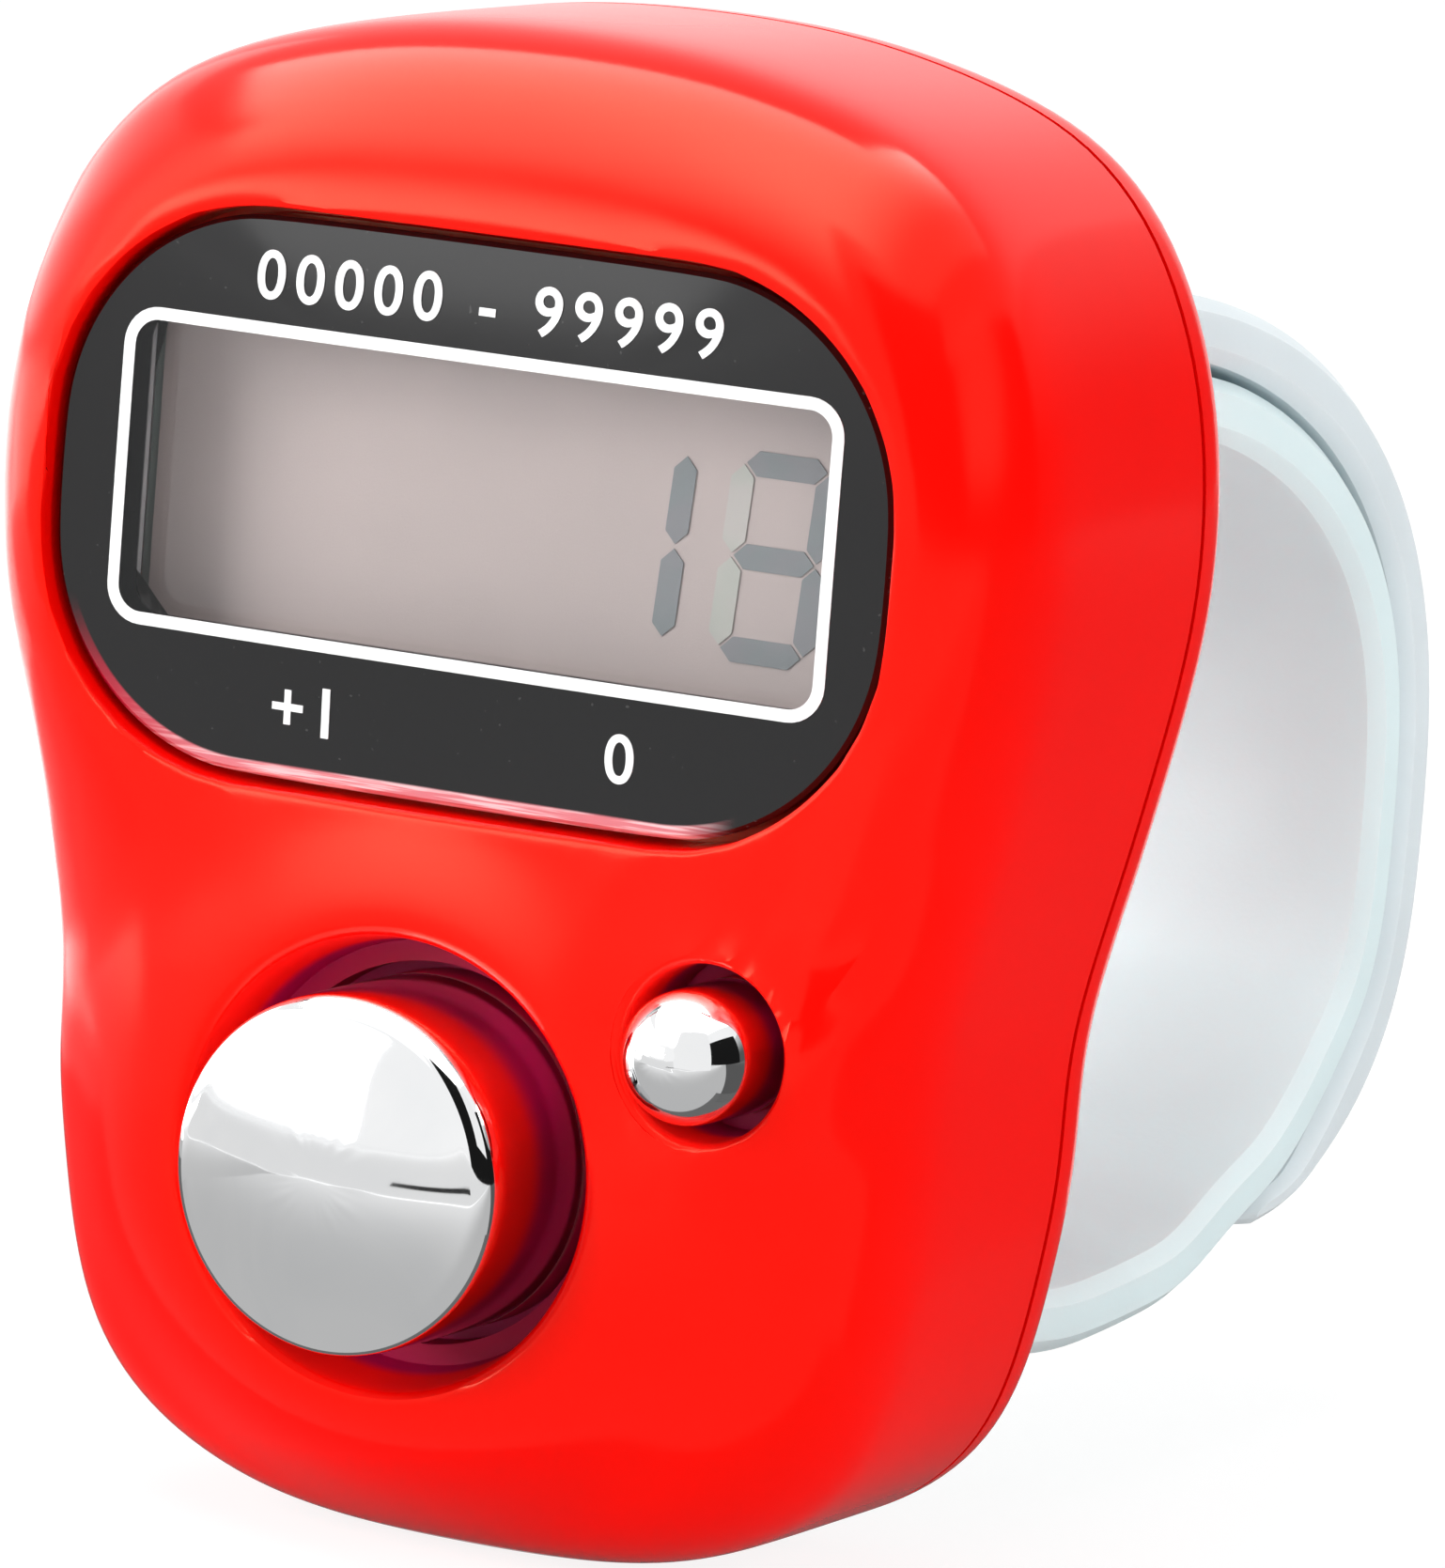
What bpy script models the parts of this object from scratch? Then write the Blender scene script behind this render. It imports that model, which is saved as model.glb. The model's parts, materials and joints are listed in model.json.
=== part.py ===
"""Finger-worn digital tally counter, built piece by piece.

Metres, +Z up. The display faces -Y and the finger passes along X through the strap behind the
body. The origin is in the finger loop, level with the middle of the body's height.
"""
import math

import bmesh
import bpy
import numpy as np

for item in list(bpy.data.objects):
    bpy.data.objects.remove(item, do_unlink=True)

# Body: a pear-shaped pillow, measured over the two red shells
BODY_WIDTH = 0.0310
BODY_HEIGHT = 0.0404
BODY_DEPTH = 0.01385
COVER_DEPTH = 0.0019
WALL = 0.0014

# Sizes and places on the body's face, as shares of its width or height
LOOP_TOP_SHARE = 0.337
LOOP_BOTTOM_SHARE = 0.391
DISPLAY_Z_SHARE = 0.182
LENS_WIDTH_SHARE = 0.788
LENS_HEIGHT_SHARE = 0.363
LENS_CORNER_SHARE = 0.415
GLASS_WIDTH_SHARE = 0.91
GLASS_HEIGHT_SHARE = 0.70
WELL_X_SHARE = -0.0226
WELL_Z_SHARE = -0.2327
RESET_X_SHARE = 0.2645
RESET_Z_SHARE = -0.1287
PILLOW_Z_SHARE = 0.042

# Finger loop: the space behind the back face, and the strap round it
LOOP_DEPTH = 0.0243
LOOP_TOP = BODY_HEIGHT * LOOP_TOP_SHARE
LOOP_BOTTOM = BODY_HEIGHT * LOOP_BOTTOM_SHARE
STRAP_WIDTH = 0.0188
STRAP_THICKNESS = 0.0017

# Display
DISPLAY_Z = BODY_HEIGHT * DISPLAY_Z_SHARE
LENS_WIDTH = BODY_WIDTH * LENS_WIDTH_SHARE
LENS_HEIGHT = BODY_HEIGHT * LENS_HEIGHT_SHARE
LENS_CORNER = LENS_HEIGHT * LENS_CORNER_SHARE
LENS_THICKNESS = 0.0011
GLASS_WIDTH = LENS_WIDTH * GLASS_WIDTH_SHARE
GLASS_HEIGHT = LENS_HEIGHT * GLASS_HEIGHT_SHARE

# Count button in its well
WELL_X = BODY_WIDTH * WELL_X_SHARE
WELL_Z = BODY_HEIGHT * WELL_Z_SHARE
WELL_RADIUS = 0.0059
WELL_DEPTH = 0.0026
COUNT_RADIUS = 0.00475
COUNT_PROUD = 0.0020
COUNT_TRAVEL = 0.0010

# Reset button in its hole
RESET_X = BODY_WIDTH * RESET_X_SHARE
RESET_Z = BODY_HEIGHT * RESET_Z_SHARE
RESET_HOLE_RADIUS = 0.0023
RESET_RADIUS = 0.0018
RESET_PROUD = 0.00055
RESET_TRAVEL = 0.0006

# Board, screws and button cell
BOARD_SETBACK = 0.00605
BOARD_THICKNESS = 0.0010
SCREW_RADIUS = 0.0005
CELL_RADIUS = 0.0058
CELL_HEIGHT = 0.00305
CELL_Z = -0.0005

# Gap between touching pieces, gap between bonded films, and the overrun of every cutter
CLEARANCE = 0.0003
FILM_GAP = 0.0001
OVERRUN = 0.0010

# Planes from front to back, along Y
BACK_Y = -LOOP_DEPTH / 2
FACE_Y = BACK_Y - BODY_DEPTH
PARTING_Y = BACK_Y - COVER_DEPTH
BOARD_Y = FACE_Y + BOARD_SETBACK
BOARD_BACK_Y = BOARD_Y + BOARD_THICKNESS

PARTS = bpy.data.collections.new("finger_tally_counter")
CUTTERS = bpy.data.collections.new("cutters")
for group in (PARTS, CUTTERS):
    bpy.context.scene.collection.children.link(group)


def material(name, colour, roughness, metallic=0.0, alpha=1.0):
    """A Principled material, shared by every piece that asks for the same name."""
    made = bpy.data.materials.get(name)
    if made:
        return made
    made = bpy.data.materials.new(name)
    made.use_nodes = True
    shader = made.node_tree.nodes["Principled BSDF"]
    shader.inputs["Base Color"].default_value = (*colour, 1)
    shader.inputs["Roughness"].default_value = roughness
    shader.inputs["Metallic"].default_value = metallic
    shader.inputs["Alpha"].default_value = alpha
    return made


def red_plastic():
    return material("red_plastic", (0.90, 0.02, 0.01), 0.25)


def lens_plastic():
    return material("lens_plastic", (0.02, 0.02, 0.02), 0.05)


def display_glass():
    return material("display_glass", (0.55, 0.60, 0.55), 0.10, alpha=0.6)


def display_film():
    return material("display_film", (0.48, 0.45, 0.42), 0.40)


def chrome():
    return material("chrome", (0.85, 0.86, 0.88), 0.06, 1.0)


def strap_plastic():
    return material("strap_plastic", (0.78, 0.80, 0.82), 0.45)


def silicone():
    return material("silicone", (0.75, 0.75, 0.72), 0.60)


def carbon():
    return material("carbon", (0.02, 0.02, 0.02), 0.80)


def zebra_rubber():
    return material("zebra_rubber", (0.80, 0.35, 0.45), 0.70)


def white_plastic():
    return material("white_plastic", (0.80, 0.80, 0.78), 0.45)


def board_green():
    return material("board_green", (0.03, 0.22, 0.08), 0.45)


def epoxy():
    return material("epoxy", (0.01, 0.01, 0.01), 0.35)


def ceramic():
    return material("ceramic", (0.45, 0.33, 0.22), 0.50)


def steel():
    return material("steel", (0.60, 0.60, 0.58), 0.30, 1.0)


def add_object(name, mesh, group, surface=None):
    """Links a mesh as an object. A cutter shows as a wire and stays out of renders."""
    made = bpy.data.objects.new(name, mesh)
    group.objects.link(made)
    if surface:
        mesh.materials.append(surface)
    if group is CUTTERS:
        made.hide_render = True
        made.display_type = "WIRE"
    return made


def loft(name, rings, group, surface=None, closed=False):
    """Skins rings of equal length. The end rings are capped, or joined to each other if closed."""
    bm = bmesh.new()
    rows = [[bm.verts.new(point) for point in ring] for ring in rings]
    pairs = list(zip(rows, rows[1:] + rows[:1]))
    if not closed:
        pairs.pop()
        bm.faces.new(rows[0])
        bm.faces.new(rows[-1])
    for near, far in pairs:
        for k, vert in enumerate(near):
            after = (k + 1) % len(near)
            bm.faces.new((vert, near[after], far[after], far[k]))
    bmesh.ops.recalc_face_normals(bm, faces=bm.faces)
    mesh = bpy.data.meshes.new(name)
    bm.to_mesh(mesh)
    bm.free()
    mesh.shade_smooth()
    mesh.set_sharp_from_angle(angle=math.radians(35))
    return add_object(name, mesh, group, surface)


def turned(name, profile, place, group, surface=None, steps=16, facing=(-1, 0)):
    """Turns a profile of (radius, forward) points about an axis through a place.

    Forward is towards -Y unless facing gives another (y, z) direction.
    """
    bm = bmesh.new()
    verts = [bm.verts.new((radius, 0, forward)) for radius, forward in profile]
    for first, second in zip(verts, verts[1:]):
        bm.edges.new((first, second))
    mesh = bpy.data.meshes.new(name)
    bm.to_mesh(mesh)
    bm.free()
    made = add_object(name, mesh, group, surface)
    made.location = place
    made.rotation_euler.x = math.atan2(-facing[0], facing[1])
    turn = made.modifiers.new("turn", "SCREW")
    turn.steps = steps
    turn.render_steps = steps
    turn.use_merge_vertices = True
    turn.merge_threshold = 0.00001
    turn.use_smooth_shade = True
    return made


def disc(radius, front, back):
    """The profile of a plain round disc or pin."""
    return [(0, front), (radius, front), (radius, back), (0, back)]


def slab(name, outline, front_y, back_y, group, surface=None):
    """A flat piece that stands across Y, from a loop of (x, z) points."""
    rings = [[(x, y, z) for x, z in outline] for y in (front_y, back_y)]
    return loft(name, rings, group, surface)


def rectangle(width, height, centre_x=0.0, centre_z=0.0):
    corners = ((-0.5, 0.5), (0.5, 0.5), (0.5, -0.5), (-0.5, -0.5))
    return [(centre_x + x * width, centre_z + z * height) for x, z in corners]


def boolean(target, tools, operation="DIFFERENCE"):
    """Cuts the tools from the target in one step, or joins them to it."""
    together = bpy.data.collections.new(f"{target.name}_{operation.lower()}")
    CUTTERS.children.link(together)
    for tool in tools:
        CUTTERS.objects.unlink(tool)
        together.objects.link(tool)
    step = target.modifiers.new(operation.lower(), "BOOLEAN")
    step.operation = operation
    step.operand_type = "COLLECTION"
    step.collection = together
    step.solver = "EXACT"


def eased(value):
    """Goes from 0 to 1 with level ends."""
    share = np.clip(value, 0, 1)
    return share * share * (3 - 2 * share)


# The body seen from the front: right half, top to bottom, as shares of its half width and height
OUTLINE_SHARES = (
    (0, 1), (0.41, 0.972), (0.77, 0.865), (0.955, 0.635), (1, 0.34), (0.93, 0.04),
    (0.838, -0.26), (0.82, -0.52), (0.717, -0.82), (0.435, -0.967), (0, -1),
)
SPLINE_STEPS = 12
RING_POINTS = 64


def closed_spline(points):
    """Samples a closed Catmull-Rom spline through the points."""
    here = np.array(points, dtype=float)
    before, after, later = (np.roll(here, shift, 0) for shift in (1, -1, -2))
    t = (np.arange(SPLINE_STEPS) / SPLINE_STEPS)[:, None, None]
    line = 2 * here + (after - before) * t
    square = (2 * before - 5 * here + 4 * after - later) * t**2
    cube = (3 * here - before - 3 * after + later) * t**3
    return ((line + square + cube) / 2).transpose(1, 0, 2).reshape(-1, 2)


def body_outline():
    half = [(x * BODY_WIDTH / 2, z * BODY_HEIGHT / 2) for x, z in OUTLINE_SHARES]
    mirrored = [(-x, z) for x, z in half[-2:0:-1]]
    return closed_spline(half + mirrored)


def inset(outline, distance):
    """Moves a clockwise loop inward along its normals."""
    along = np.roll(outline, -1, 0) - np.roll(outline, 1, 0)
    along /= np.linalg.norm(along, axis=1)[:, None]
    return outline + np.stack([along[:, 1], -along[:, 0]], 1) * distance


def bearings(outline, centre):
    """Angle of each point as seen from the centre, from +Z towards +X, with its distance."""
    relative = outline - np.array(centre)
    angles = np.arctan2(relative[:, 0], relative[:, 1])
    order = np.argsort(angles)
    return angles[order], np.hypot(*relative.T)[order]


def reach(outline, centre, angles):
    """Distance from the centre to the outline along each angle."""
    known, distances = bearings(outline, centre)
    return np.interp(angles, known, distances, period=2 * math.pi)


OUTLINE = body_outline()
HOLLOW = inset(OUTLINE, WALL)
WELL = (WELL_X, WELL_Z)


def ray_angles():
    """Angles from the well to the outline: half even turns, half even steps along the edge."""
    turns = np.arange(RING_POINTS) * 2 * math.pi / RING_POINTS
    fine = np.unwrap(np.arctan2(*(OUTLINE - np.array(WELL)).T))
    steps = np.hypot(*(np.roll(OUTLINE, -1, 0) - OUTLINE).T)
    travelled = np.concatenate([[0], np.cumsum(steps)])
    fine = np.append(fine, fine[0] + 2 * math.pi)
    even = np.interp(turns / (2 * math.pi) * travelled[-1], travelled, fine)
    return (turns + even) / 2


RAYS = ray_angles()

# Front face: a flat-topped pillow, level round the lens and raised in a crater round each button
PILLOW_CENTRE = (0.0, BODY_HEIGHT * PILLOW_Z_SHARE)
EDGE_DEPTH_TOP = 0.0044
EDGE_DEPTH_BOTTOM = 0.0058
PILLOW_POWER_TOP = 8.0
PILLOW_POWER_BOTTOM = 5.0
PILLOW_ROUNDNESS = 2.2
LENS_FIT = 0.0002
LENS_RECESS = 0.00045
LENS_BORDER = 0.0032
WELL_RISE = 0.00045
WELL_FOOT = 0.0046
RESET_RISE = 0.0001
RESET_FOOT = 0.0022
LENS_Y = FACE_Y + LENS_RECESS
WELL_Y = FACE_Y - WELL_RISE
RESET_Y = FACE_Y - RESET_RISE


def pillow(x, z, outline):
    """How far the soft face has fallen behind its front plane, inside the given outline."""
    across, up = x - PILLOW_CENTRE[0], z - PILLOW_CENTRE[1]
    share = np.hypot(across, up) / reach(outline, PILLOW_CENTRE, np.arctan2(across, up))
    low = eased((BODY_HEIGHT / 2 - z) / BODY_HEIGHT)
    depth = EDGE_DEPTH_TOP + (EDGE_DEPTH_BOTTOM - EDGE_DEPTH_TOP) * low
    power = PILLOW_POWER_TOP + (PILLOW_POWER_BOTTOM - PILLOW_POWER_TOP) * low
    level = 1 - np.clip(share, 0, 1) ** power
    beyond_x = np.maximum(np.abs(x) - LENS_WIDTH / 2 + LENS_CORNER, 0)
    beyond_z = np.maximum(np.abs(z - DISPLAY_Z) - LENS_HEIGHT / 2 + LENS_CORNER, 0)
    from_lens = np.hypot(beyond_x, beyond_z) - LENS_CORNER - LENS_FIT
    return depth * (1 - level ** (1 / PILLOW_ROUNDNESS)) * eased(from_lens / LENS_BORDER)


def front_surface(x, z):
    y = FACE_Y + pillow(x, z, OUTLINE)
    for centre_x, centre_z, radius, foot, rim_y in (
            (WELL_X, WELL_Z, WELL_RADIUS, WELL_FOOT, WELL_Y),
            (RESET_X, RESET_Z, RESET_HOLE_RADIUS, RESET_FOOT, RESET_Y)):
        away = eased((np.hypot(x - centre_x, z - centre_z) - radius) / foot)
        y = rim_y + (y - rim_y) * away
    return y


def hollow_surface(x, z):
    return FACE_Y + WALL + pillow(x, z, HOLLOW)


def ring_at(radii, y):
    """A ring round the well from the radius and the Y on each ray."""
    x = WELL_X + radii * np.sin(RAYS)
    z = WELL_Z + radii * np.cos(RAYS)
    heights = y(x, z) if callable(y) else np.full(RING_POINTS, y)
    return list(zip(x, heights, z))


def circle(radius, y):
    return ring_at(np.full(RING_POINTS, radius), y)


def edge_ring(outline, y):
    return ring_at(reach(outline, WELL, RAYS), y)


def spread_rings(radius, outline, count, surface):
    """Rings on a surface from a circle out to an outline, closer together near the outline."""
    rings = []
    for k in range(count + 1):
        share = 1 - (1 - k / count) ** RING_CROWDING
        radii = radius + (reach(outline, WELL, RAYS) - radius) * share
        rings.append(ring_at(radii, surface))
    return rings


def rounded(radius, fillet, y, inward):
    """Rings of a quarter-round lip that turns from a face at y into a wall at the radius."""
    rings = []
    for k in range(1, LIP_STEPS + 1):
        turn = math.pi / 2 * k / LIP_STEPS
        rings.append(circle(radius + fillet * (1 - math.sin(turn)),
                            y + inward * fillet * (1 - math.cos(turn))))
    return rings


# Front housing
SEAM = 0.0002
FRONT_RINGS = 15
HOLLOW_RINGS = 4
RING_CROWDING = 1.7
LIP_STEPS = 3
WELL_LIP = 0.0005
WELL_TAPER = 0.0003
WELL_FLOOR = 0.0010
WELL_TUBE = 0.0011
SHELL_END_Y = PARTING_Y - SEAM / 2
FLOOR_Y = WELL_Y + WELL_DEPTH
FLOOR_BACK_Y = FLOOR_Y + WELL_FLOOR


def housing_rings():
    """From the parting edge over the face, down the well and back along the inside."""
    hole = COUNT_RADIUS + CLEARANCE
    tube = WELL_RADIUS + WELL_TUBE
    rings = [edge_ring(OUTLINE, SHELL_END_Y)]
    rings += reversed(spread_rings(WELL_RADIUS + WELL_LIP, OUTLINE, FRONT_RINGS, front_surface))
    rings += rounded(WELL_RADIUS, WELL_LIP, WELL_Y, 1)
    rings += [circle(WELL_RADIUS - WELL_TAPER, FLOOR_Y), circle(hole, FLOOR_Y),
              circle(hole, FLOOR_BACK_Y), circle(tube, FLOOR_BACK_Y)]
    rings += spread_rings(tube + WELL_TAPER, HOLLOW, HOLLOW_RINGS, hollow_surface)
    rings.append(edge_ring(HOLLOW, SHELL_END_Y))
    return rings


# Lens seat: a ledge behind the lens, with the display's opening in it
LENS_CORNER_STEPS = 8
SEAT_LEDGE = 0.0008
SEAT_MARGIN = 0.0010
SEAT_BITE = 0.0005
VIEW_SIDE = 0.0003
VIEW_END = 0.0007
VIEW_WIDTH = GLASS_WIDTH - 2 * VIEW_SIDE
VIEW_HEIGHT = GLASS_HEIGHT - 2 * VIEW_END
SEAT_Y = LENS_Y + LENS_THICKNESS + CLEARANCE
SEAT_BACK_Y = SEAT_Y + SEAT_LEDGE


def lens_outline(grow=0.0):
    """The lens's rounded outline, grown or shrunk all round."""
    points = []
    straight_x = LENS_WIDTH / 2 - LENS_CORNER
    straight_z = LENS_HEIGHT / 2 - LENS_CORNER
    for quarter, (side_x, side_z) in enumerate(((1, 1), (1, -1), (-1, -1), (-1, 1))):
        for k in range(LENS_CORNER_STEPS + 1):
            angle = math.pi / 2 * (quarter + k / LENS_CORNER_STEPS)
            corner = LENS_CORNER + grow
            points.append((side_x * straight_x + corner * math.sin(angle),
                           DISPLAY_Z + side_z * straight_z + corner * math.cos(angle)))
    return points


# Bosses for the screws of the cover, and posts for the screws of the board
PILOT_RADIUS = SCREW_RADIUS + CLEARANCE
BOSS_RADIUS = 0.0015
BOSS_COVER = 0.0006
POST_RADIUS = 0.0012
COVER_PLATE = 0.0016
PLATE_Y = BACK_Y - COVER_PLATE
BOSS_END_Y = PLATE_Y - CLEARANCE
POST_END_Y = BOARD_Y - CLEARANCE
HOUSING_SCREW_SHARES = ((0, 0.861), (-0.765, -0.03), (0.765, -0.03), (0, -0.876))
BOARD_SCREW_SHARES = ((-0.555, -0.14), (0.587, -0.54))
HEAD_RADIUS = 0.0012
HEAD_HEIGHT = 0.0007
HOUSING_SCREW_LENGTH = 0.0050
BOARD_SCREW_LENGTH = 0.0040
BOARD_SCREW_Y = BOARD_BACK_Y + CLEARANCE


def on_body(shares):
    """Places (x, z) on the body from shares of its half width and half height."""
    return [(x * BODY_WIDTH / 2, z * BODY_HEIGHT / 2) for x, z in shares]


HOUSING_SCREW_PLACES = on_body(HOUSING_SCREW_SHARES)
BOARD_SCREW_PLACES = on_body(BOARD_SCREW_SHARES)


def boss(name, place, radius, end_y):
    """A round boss that grows from the front wall, behind all of the face in front of it."""
    x, z = place
    start_y = float(np.max(front_surface(x + radius * np.sin(RAYS), z + radius * np.cos(RAYS))))
    start_y += BOSS_COVER
    return turned(name, disc(radius, end_y - start_y, 0), (x, end_y, z), CUTTERS)


def hole(name, place, radius, start_y, end_y):
    """A round cutter along Y."""
    x, z = place
    return turned(name, disc(radius, end_y - start_y, 0), (x, end_y, z), CUTTERS)


# Reset hole: a stepped guide behind it holds the button's flange
RESET_FILLET = 0.0003
RESET_GUIDE = 0.0028
RESET_FLANGE = 0.0003
RESET_FLANGE_HEIGHT = 0.0005
RESET_GUIDE_WALL = 0.0005
RESET_GUIDE_Y = RESET_Y + RESET_GUIDE
RESET_FLANGE_RADIUS = RESET_HOLE_RADIUS + RESET_FLANGE


def reset_hole_cutter():
    """The reset hole, flared in front so that its rim is rounded."""
    flared = RESET_HOLE_RADIUS + RESET_FILLET
    profile = [(0, OVERRUN), (flared, OVERRUN), (flared, 0)]
    for k in range(1, LIP_STEPS + 1):
        turn = math.pi / 2 * k / LIP_STEPS
        profile.append((flared - RESET_FILLET * math.sin(turn),
                        -RESET_FILLET * (1 - math.cos(turn))))
    room, room_end = RESET_FLANGE_RADIUS + CLEARANCE, RESET_Y - BOARD_Y
    profile += [(RESET_HOLE_RADIUS, -RESET_GUIDE), (room, -RESET_GUIDE), (room, room_end),
                (0, room_end)]
    return turned("reset_hole", profile, (RESET_X, RESET_Y, RESET_Z), CUTTERS, steps=32)


def front_housing():
    shell = loft("front_housing", housing_rings(), PARTS, red_plastic(), closed=True)
    seat_front_y = FACE_Y + WALL - SEAT_BITE
    added = [slab("lens_seat", lens_outline(SEAT_MARGIN), seat_front_y, SEAT_BACK_Y, CUTTERS)]
    added.append(boss("reset_guide", (RESET_X, RESET_Z),
                      RESET_FLANGE_RADIUS + CLEARANCE + RESET_GUIDE_WALL,
                      RESET_GUIDE_Y + RESET_FLANGE_HEIGHT + CLEARANCE))
    for k, place in enumerate(HOUSING_SCREW_PLACES):
        added.append(boss(f"boss_{k}", place, BOSS_RADIUS, BOSS_END_Y))
    for k, place in enumerate(BOARD_SCREW_PLACES):
        added.append(boss(f"post_{k}", place, POST_RADIUS, POST_END_Y))
    boolean(shell, added, "UNION")
    removed = [
        slab("lens_pocket", lens_outline(LENS_FIT), FACE_Y - OVERRUN, SEAT_Y, CUTTERS),
        slab("display_opening", rectangle(VIEW_WIDTH, VIEW_HEIGHT, 0.0, DISPLAY_Z),
             FACE_Y - OVERRUN, SEAT_BACK_Y + OVERRUN, CUTTERS),
        reset_hole_cutter(),
    ]
    screw_end_y = BACK_Y - HOUSING_SCREW_LENGTH - CLEARANCE
    for k, place in enumerate(HOUSING_SCREW_PLACES):
        removed.append(hole(f"boss_pilot_{k}", place, PILOT_RADIUS, screw_end_y,
                            BOSS_END_Y + OVERRUN))
    screw_end_y = BOARD_SCREW_Y - BOARD_SCREW_LENGTH - CLEARANCE
    for k, place in enumerate(BOARD_SCREW_PLACES):
        removed.append(hole(f"post_pilot_{k}", place, PILOT_RADIUS, screw_end_y,
                            POST_END_Y + OVERRUN))
    boolean(shell, removed)


# Window lens: a bevelled rim and a slightly domed front
LENS_BEVEL = 0.0004
LENS_CROWN = 0.00025
LENS_DOME_SHARES = (0.8, 0.55, 0.3)


def window_lens():
    top = lens_outline(-LENS_BEVEL)
    levels = [(lens_outline(), LENS_Y + LENS_THICKNESS), (lens_outline(), LENS_Y + LENS_BEVEL),
              (top, LENS_Y)]
    for share in LENS_DOME_SHARES:
        smaller = [(x * share, DISPLAY_Z + (z - DISPLAY_Z) * share) for x, z in top]
        levels.append((smaller, LENS_Y - LENS_CROWN * (1 - share**2)))
    rings = [[(x, y, z) for x, z in outline] for outline, y in levels]
    loft("window_lens", rings, PARTS, lens_plastic())


# Display: polarizer, two-pane glass, rear polarizer, striped connector and frame
FILM = 0.0002
FILM_MARGIN = 0.0004
PANE = 0.0008
CONTACT_LEDGE = 0.0017
REAR_PANE_HEIGHT = GLASS_HEIGHT - CONTACT_LEDGE
ZEBRA_MARGIN = 0.0008
FRAME_WALL = 0.0006
FRONT_FILM_Y = SEAT_BACK_Y + CLEARANCE
GLASS_Y = FRONT_FILM_Y + FILM + FILM_GAP
GLASS_BACK_Y = GLASS_Y + 2 * PANE
FRAME_Y = GLASS_Y + 2 * CLEARANCE
REAR_FILM_Y = GLASS_BACK_Y + FILM_GAP
REAR_PANE_Z = DISPLAY_Z + (GLASS_HEIGHT - REAR_PANE_HEIGHT) / 2


def polarizer(name, height, centre_z, front_y):
    outline = rectangle(GLASS_WIDTH - 2 * FILM_MARGIN, height - 2 * FILM_MARGIN, 0.0, centre_z)
    slab(name, outline, front_y, front_y + FILM, PARTS, display_film())


def lcd_cell():
    """The front pane is taller than the rear one, which leaves a contact ledge below."""
    front = slab("lcd_cell", rectangle(GLASS_WIDTH, GLASS_HEIGHT, 0.0, DISPLAY_Z), GLASS_Y,
                 GLASS_Y + PANE, PARTS, display_glass())
    rear = slab("rear_pane", rectangle(GLASS_WIDTH, REAR_PANE_HEIGHT, 0.0, REAR_PANE_Z),
                GLASS_Y + PANE / 2, GLASS_BACK_Y, CUTTERS)
    boolean(front, [rear], "UNION")


def zebra_connector():
    height = CONTACT_LEDGE - 2 * CLEARANCE
    centre_z = DISPLAY_Z - GLASS_HEIGHT / 2 + CLEARANCE + height / 2
    slab("zebra_connector", rectangle(GLASS_WIDTH - 2 * ZEBRA_MARGIN, height, 0.0, centre_z),
         GLASS_Y + PANE + CLEARANCE, BOARD_Y - CLEARANCE, PARTS, zebra_rubber())


def display_frame():
    inner_width = GLASS_WIDTH + 2 * CLEARANCE
    inner_height = GLASS_HEIGHT + 2 * CLEARANCE
    outer = rectangle(inner_width + 2 * FRAME_WALL, inner_height + 2 * FRAME_WALL, 0.0,
                      DISPLAY_Z)
    frame = slab("display_frame", outer, FRAME_Y, POST_END_Y, PARTS, white_plastic())
    opening = slab("frame_opening", rectangle(inner_width, inner_height, 0.0, DISPLAY_Z),
                   FRAME_Y - OVERRUN, BOARD_Y, CUTTERS)
    boolean(frame, [opening])


# Circuit board and what is soldered to its back
BOARD_GAP = 0.0006
BOARD_STRIDE = 4
SOLDERED_Y = BOARD_BACK_Y + CLEARANCE
BLOB_RADIUS = 0.0026
BLOB_HEIGHT = 0.0011
BLOB_STEPS = 3
CAPACITOR_WIDTH = 0.0032
CAPACITOR_HEIGHT = 0.0018
CAPACITOR_DEPTH = 0.0016
RESISTOR_WIDTH = 0.0020
RESISTOR_HEIGHT = 0.0012
RESISTOR_DEPTH = 0.0006
BLOB_SHARES = (-0.31, 0.535)
CAPACITOR_SHARES = (0.49, 0.574)
RESISTOR_SHARES = ((0.232, 0.634), (0.232, 0.525))


def circuit_board():
    """The board follows the housing's hollow, with room for the bosses."""
    board = slab("circuit_board", inset(HOLLOW, BOARD_GAP)[::BOARD_STRIDE], BOARD_Y,
                 BOARD_BACK_Y, PARTS, board_green())
    holes = []
    for k, place in enumerate(HOUSING_SCREW_PLACES):
        holes.append(hole(f"board_boss_hole_{k}", place, BOSS_RADIUS + CLEARANCE,
                          BOARD_Y - OVERRUN, BOARD_BACK_Y + OVERRUN))
    for k, place in enumerate(BOARD_SCREW_PLACES):
        holes.append(hole(f"board_screw_hole_{k}", place, PILOT_RADIUS,
                          BOARD_Y - OVERRUN, BOARD_BACK_Y + OVERRUN))
    boolean(board, holes)


def chip_blob():
    profile = [(0, 0)]
    for k in range(BLOB_STEPS):
        turn = math.pi / 2 * k / BLOB_STEPS
        profile.append((BLOB_RADIUS * math.cos(turn), -BLOB_HEIGHT * math.sin(turn)))
    profile.append((0, -BLOB_HEIGHT))
    x, z = on_body([BLOB_SHARES])[0]
    turned("chip_blob", profile, (x, SOLDERED_Y, z), PARTS, epoxy(), steps=20)


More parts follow.
